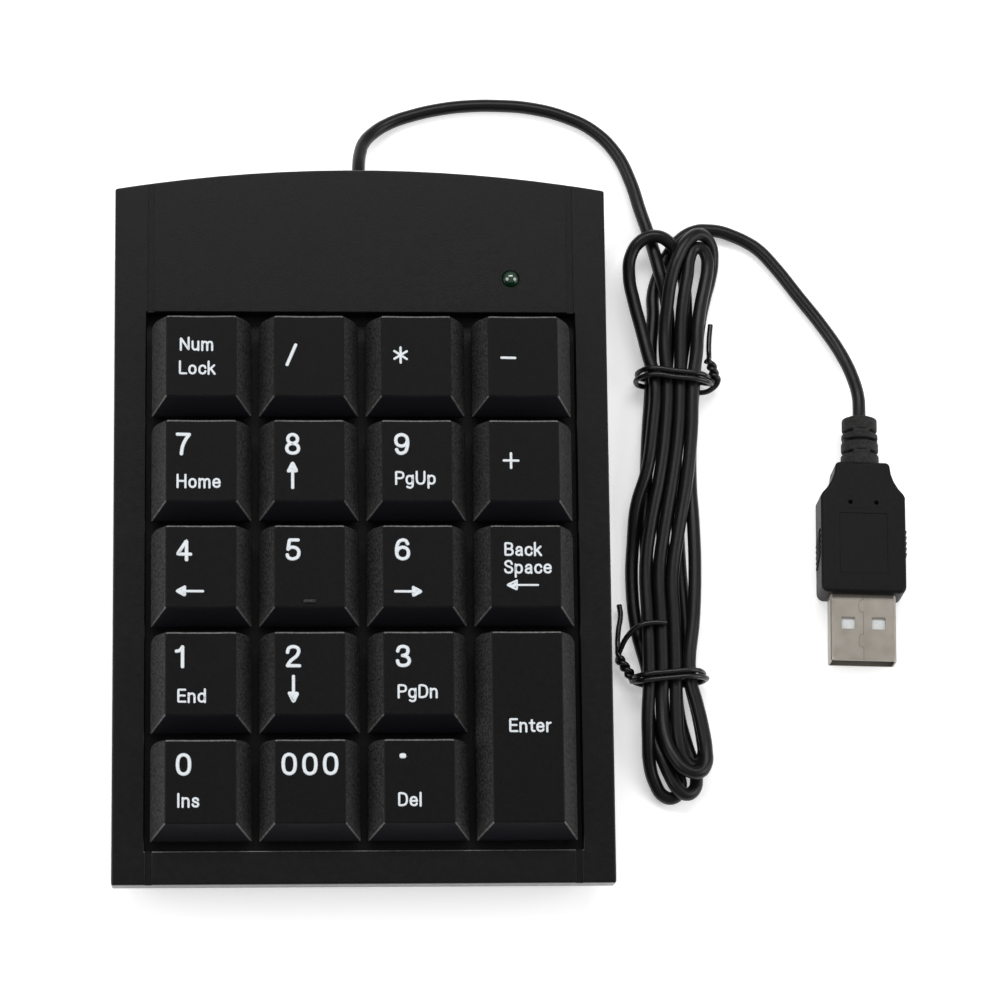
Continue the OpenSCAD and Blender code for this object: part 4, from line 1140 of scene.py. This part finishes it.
# Painted shade: a thin dark disc where each sight hole is.
for x in HOLE_X:
    for z in (0, GRIP_H):
        hole = bmesh.ops.create_cone(
            bm, cap_ends=True, segments=20, radius1=HOLE_R, radius2=HOLE_R, depth=0.03,
            matrix=Matrix.Translation((x, HOLE_Y, z)),
        )["verts"]
        paint(faces_of(hole), 2)
plug_grip = smooth(mesh_piece("plug_grip", bm, [GRIP, RELIEF, SIGHT_HOLE_SHADE], TO_METRES @ PLUG), 38)
add(plug_grip, "case", ["plug_overmould"])

SHELL_LOW, SHELL_HIGH, SHELL_MOUTH = 1.75, 6.25, -12.3
SHELL_ROUNDING, MOUTH_ROUNDING = 0.55, 0.1
WINDOW_X, WINDOW_Y, WINDOW_HALF = 2.75, -5.4, (1.2, 1.05)
SEAM_W, WINDOW_SHADOW, SKIN = 0.1, 0.3, 0.02
bm = merged("plug_shell", PLUG)
long_edges = [
    e for e in bm.edges
    if sharp(e, 57) and abs(e.verts[0].co.x) > 5.9
    and abs(e.verts[0].co.y - e.verts[1].co.y) > 10
]
round_off(bm, long_edges, SHELL_ROUNDING, 4)


def at_skin(point):
    """Whether a point lies on the outside of the shell."""
    past_height = point.z > SHELL_HIGH - 0.05 or point.z < SHELL_LOW + 0.05
    return abs(point.x) > 5.75 or past_height


mouth = [
    e for e in bm.edges
    if sharp(e, 57) and all(v.co.y < SHELL_MOUTH + 0.01 for v in e.verts)
    and any(at_skin(v.co) for v in e.verts)
]
round_off(bm, mouth, MOUTH_ROUNDING, 2)


def seam(bm, z):
    """The folded sheet's joint, a fine dark line let into the skin, and a painted shadow strip
    along each window's rear edge.
    """
    joint = [
        (0, SHELL_MOUTH + 0.1), (0, -9.9), (-0.7, -9.6), (-0.85, -8.6), (-0.7, -7.6), (0, -7.4),
        (0, -3.4), (-0.7, -3.1), (-0.9, -2.1), (-0.7, -1.2), (0, -0.9), (0, 0.3),
    ]
    rear = WINDOW_Y + WINDOW_HALF[1]
    lines = [(start, end, SEAM_W) for start, end in zip(joint, joint[1:])]
    # Painted shadow: a dark strip along the rear edge of each window.
    for x in (-WINDOW_X, WINDOW_X):
        lines.append(((x - WINDOW_HALF[0], rear), (x + WINDOW_HALF[0], rear), WINDOW_SHADOW))
    for (x0, y0), (x1, y1), width in lines:
        length = math.hypot(x1 - x0, y1 - y0) + 0.08
        turn = Matrix.Rotation(math.atan2(y1 - y0, x1 - x0), 4, "Z")
        place = Matrix.Translation(((x0 + x1) / 2, (y0 + y1) / 2, z)) @ turn
        size = Matrix.Diagonal((length, width, SKIN, 1))
        paint(faces_of(bmesh.ops.create_cube(bm, size=1, matrix=place @ size)["verts"]), 1)


seam(bm, SHELL_HIGH)
SEAM = Finish("seam_shadow", (0.16, 0.14, 0.12), 0.6, 0.6)
SEAM.vary_roughness(SEAM.noise(1500, 2), 0.5, 0.7)
shell_finishes = [SHELL.material, SEAM.material]
plug_sleeve = smooth(mesh_piece("plug_sleeve", bm, shell_finishes, TO_METRES @ PLUG), 35)
add(plug_sleeve, "case", ["plug_shell"])
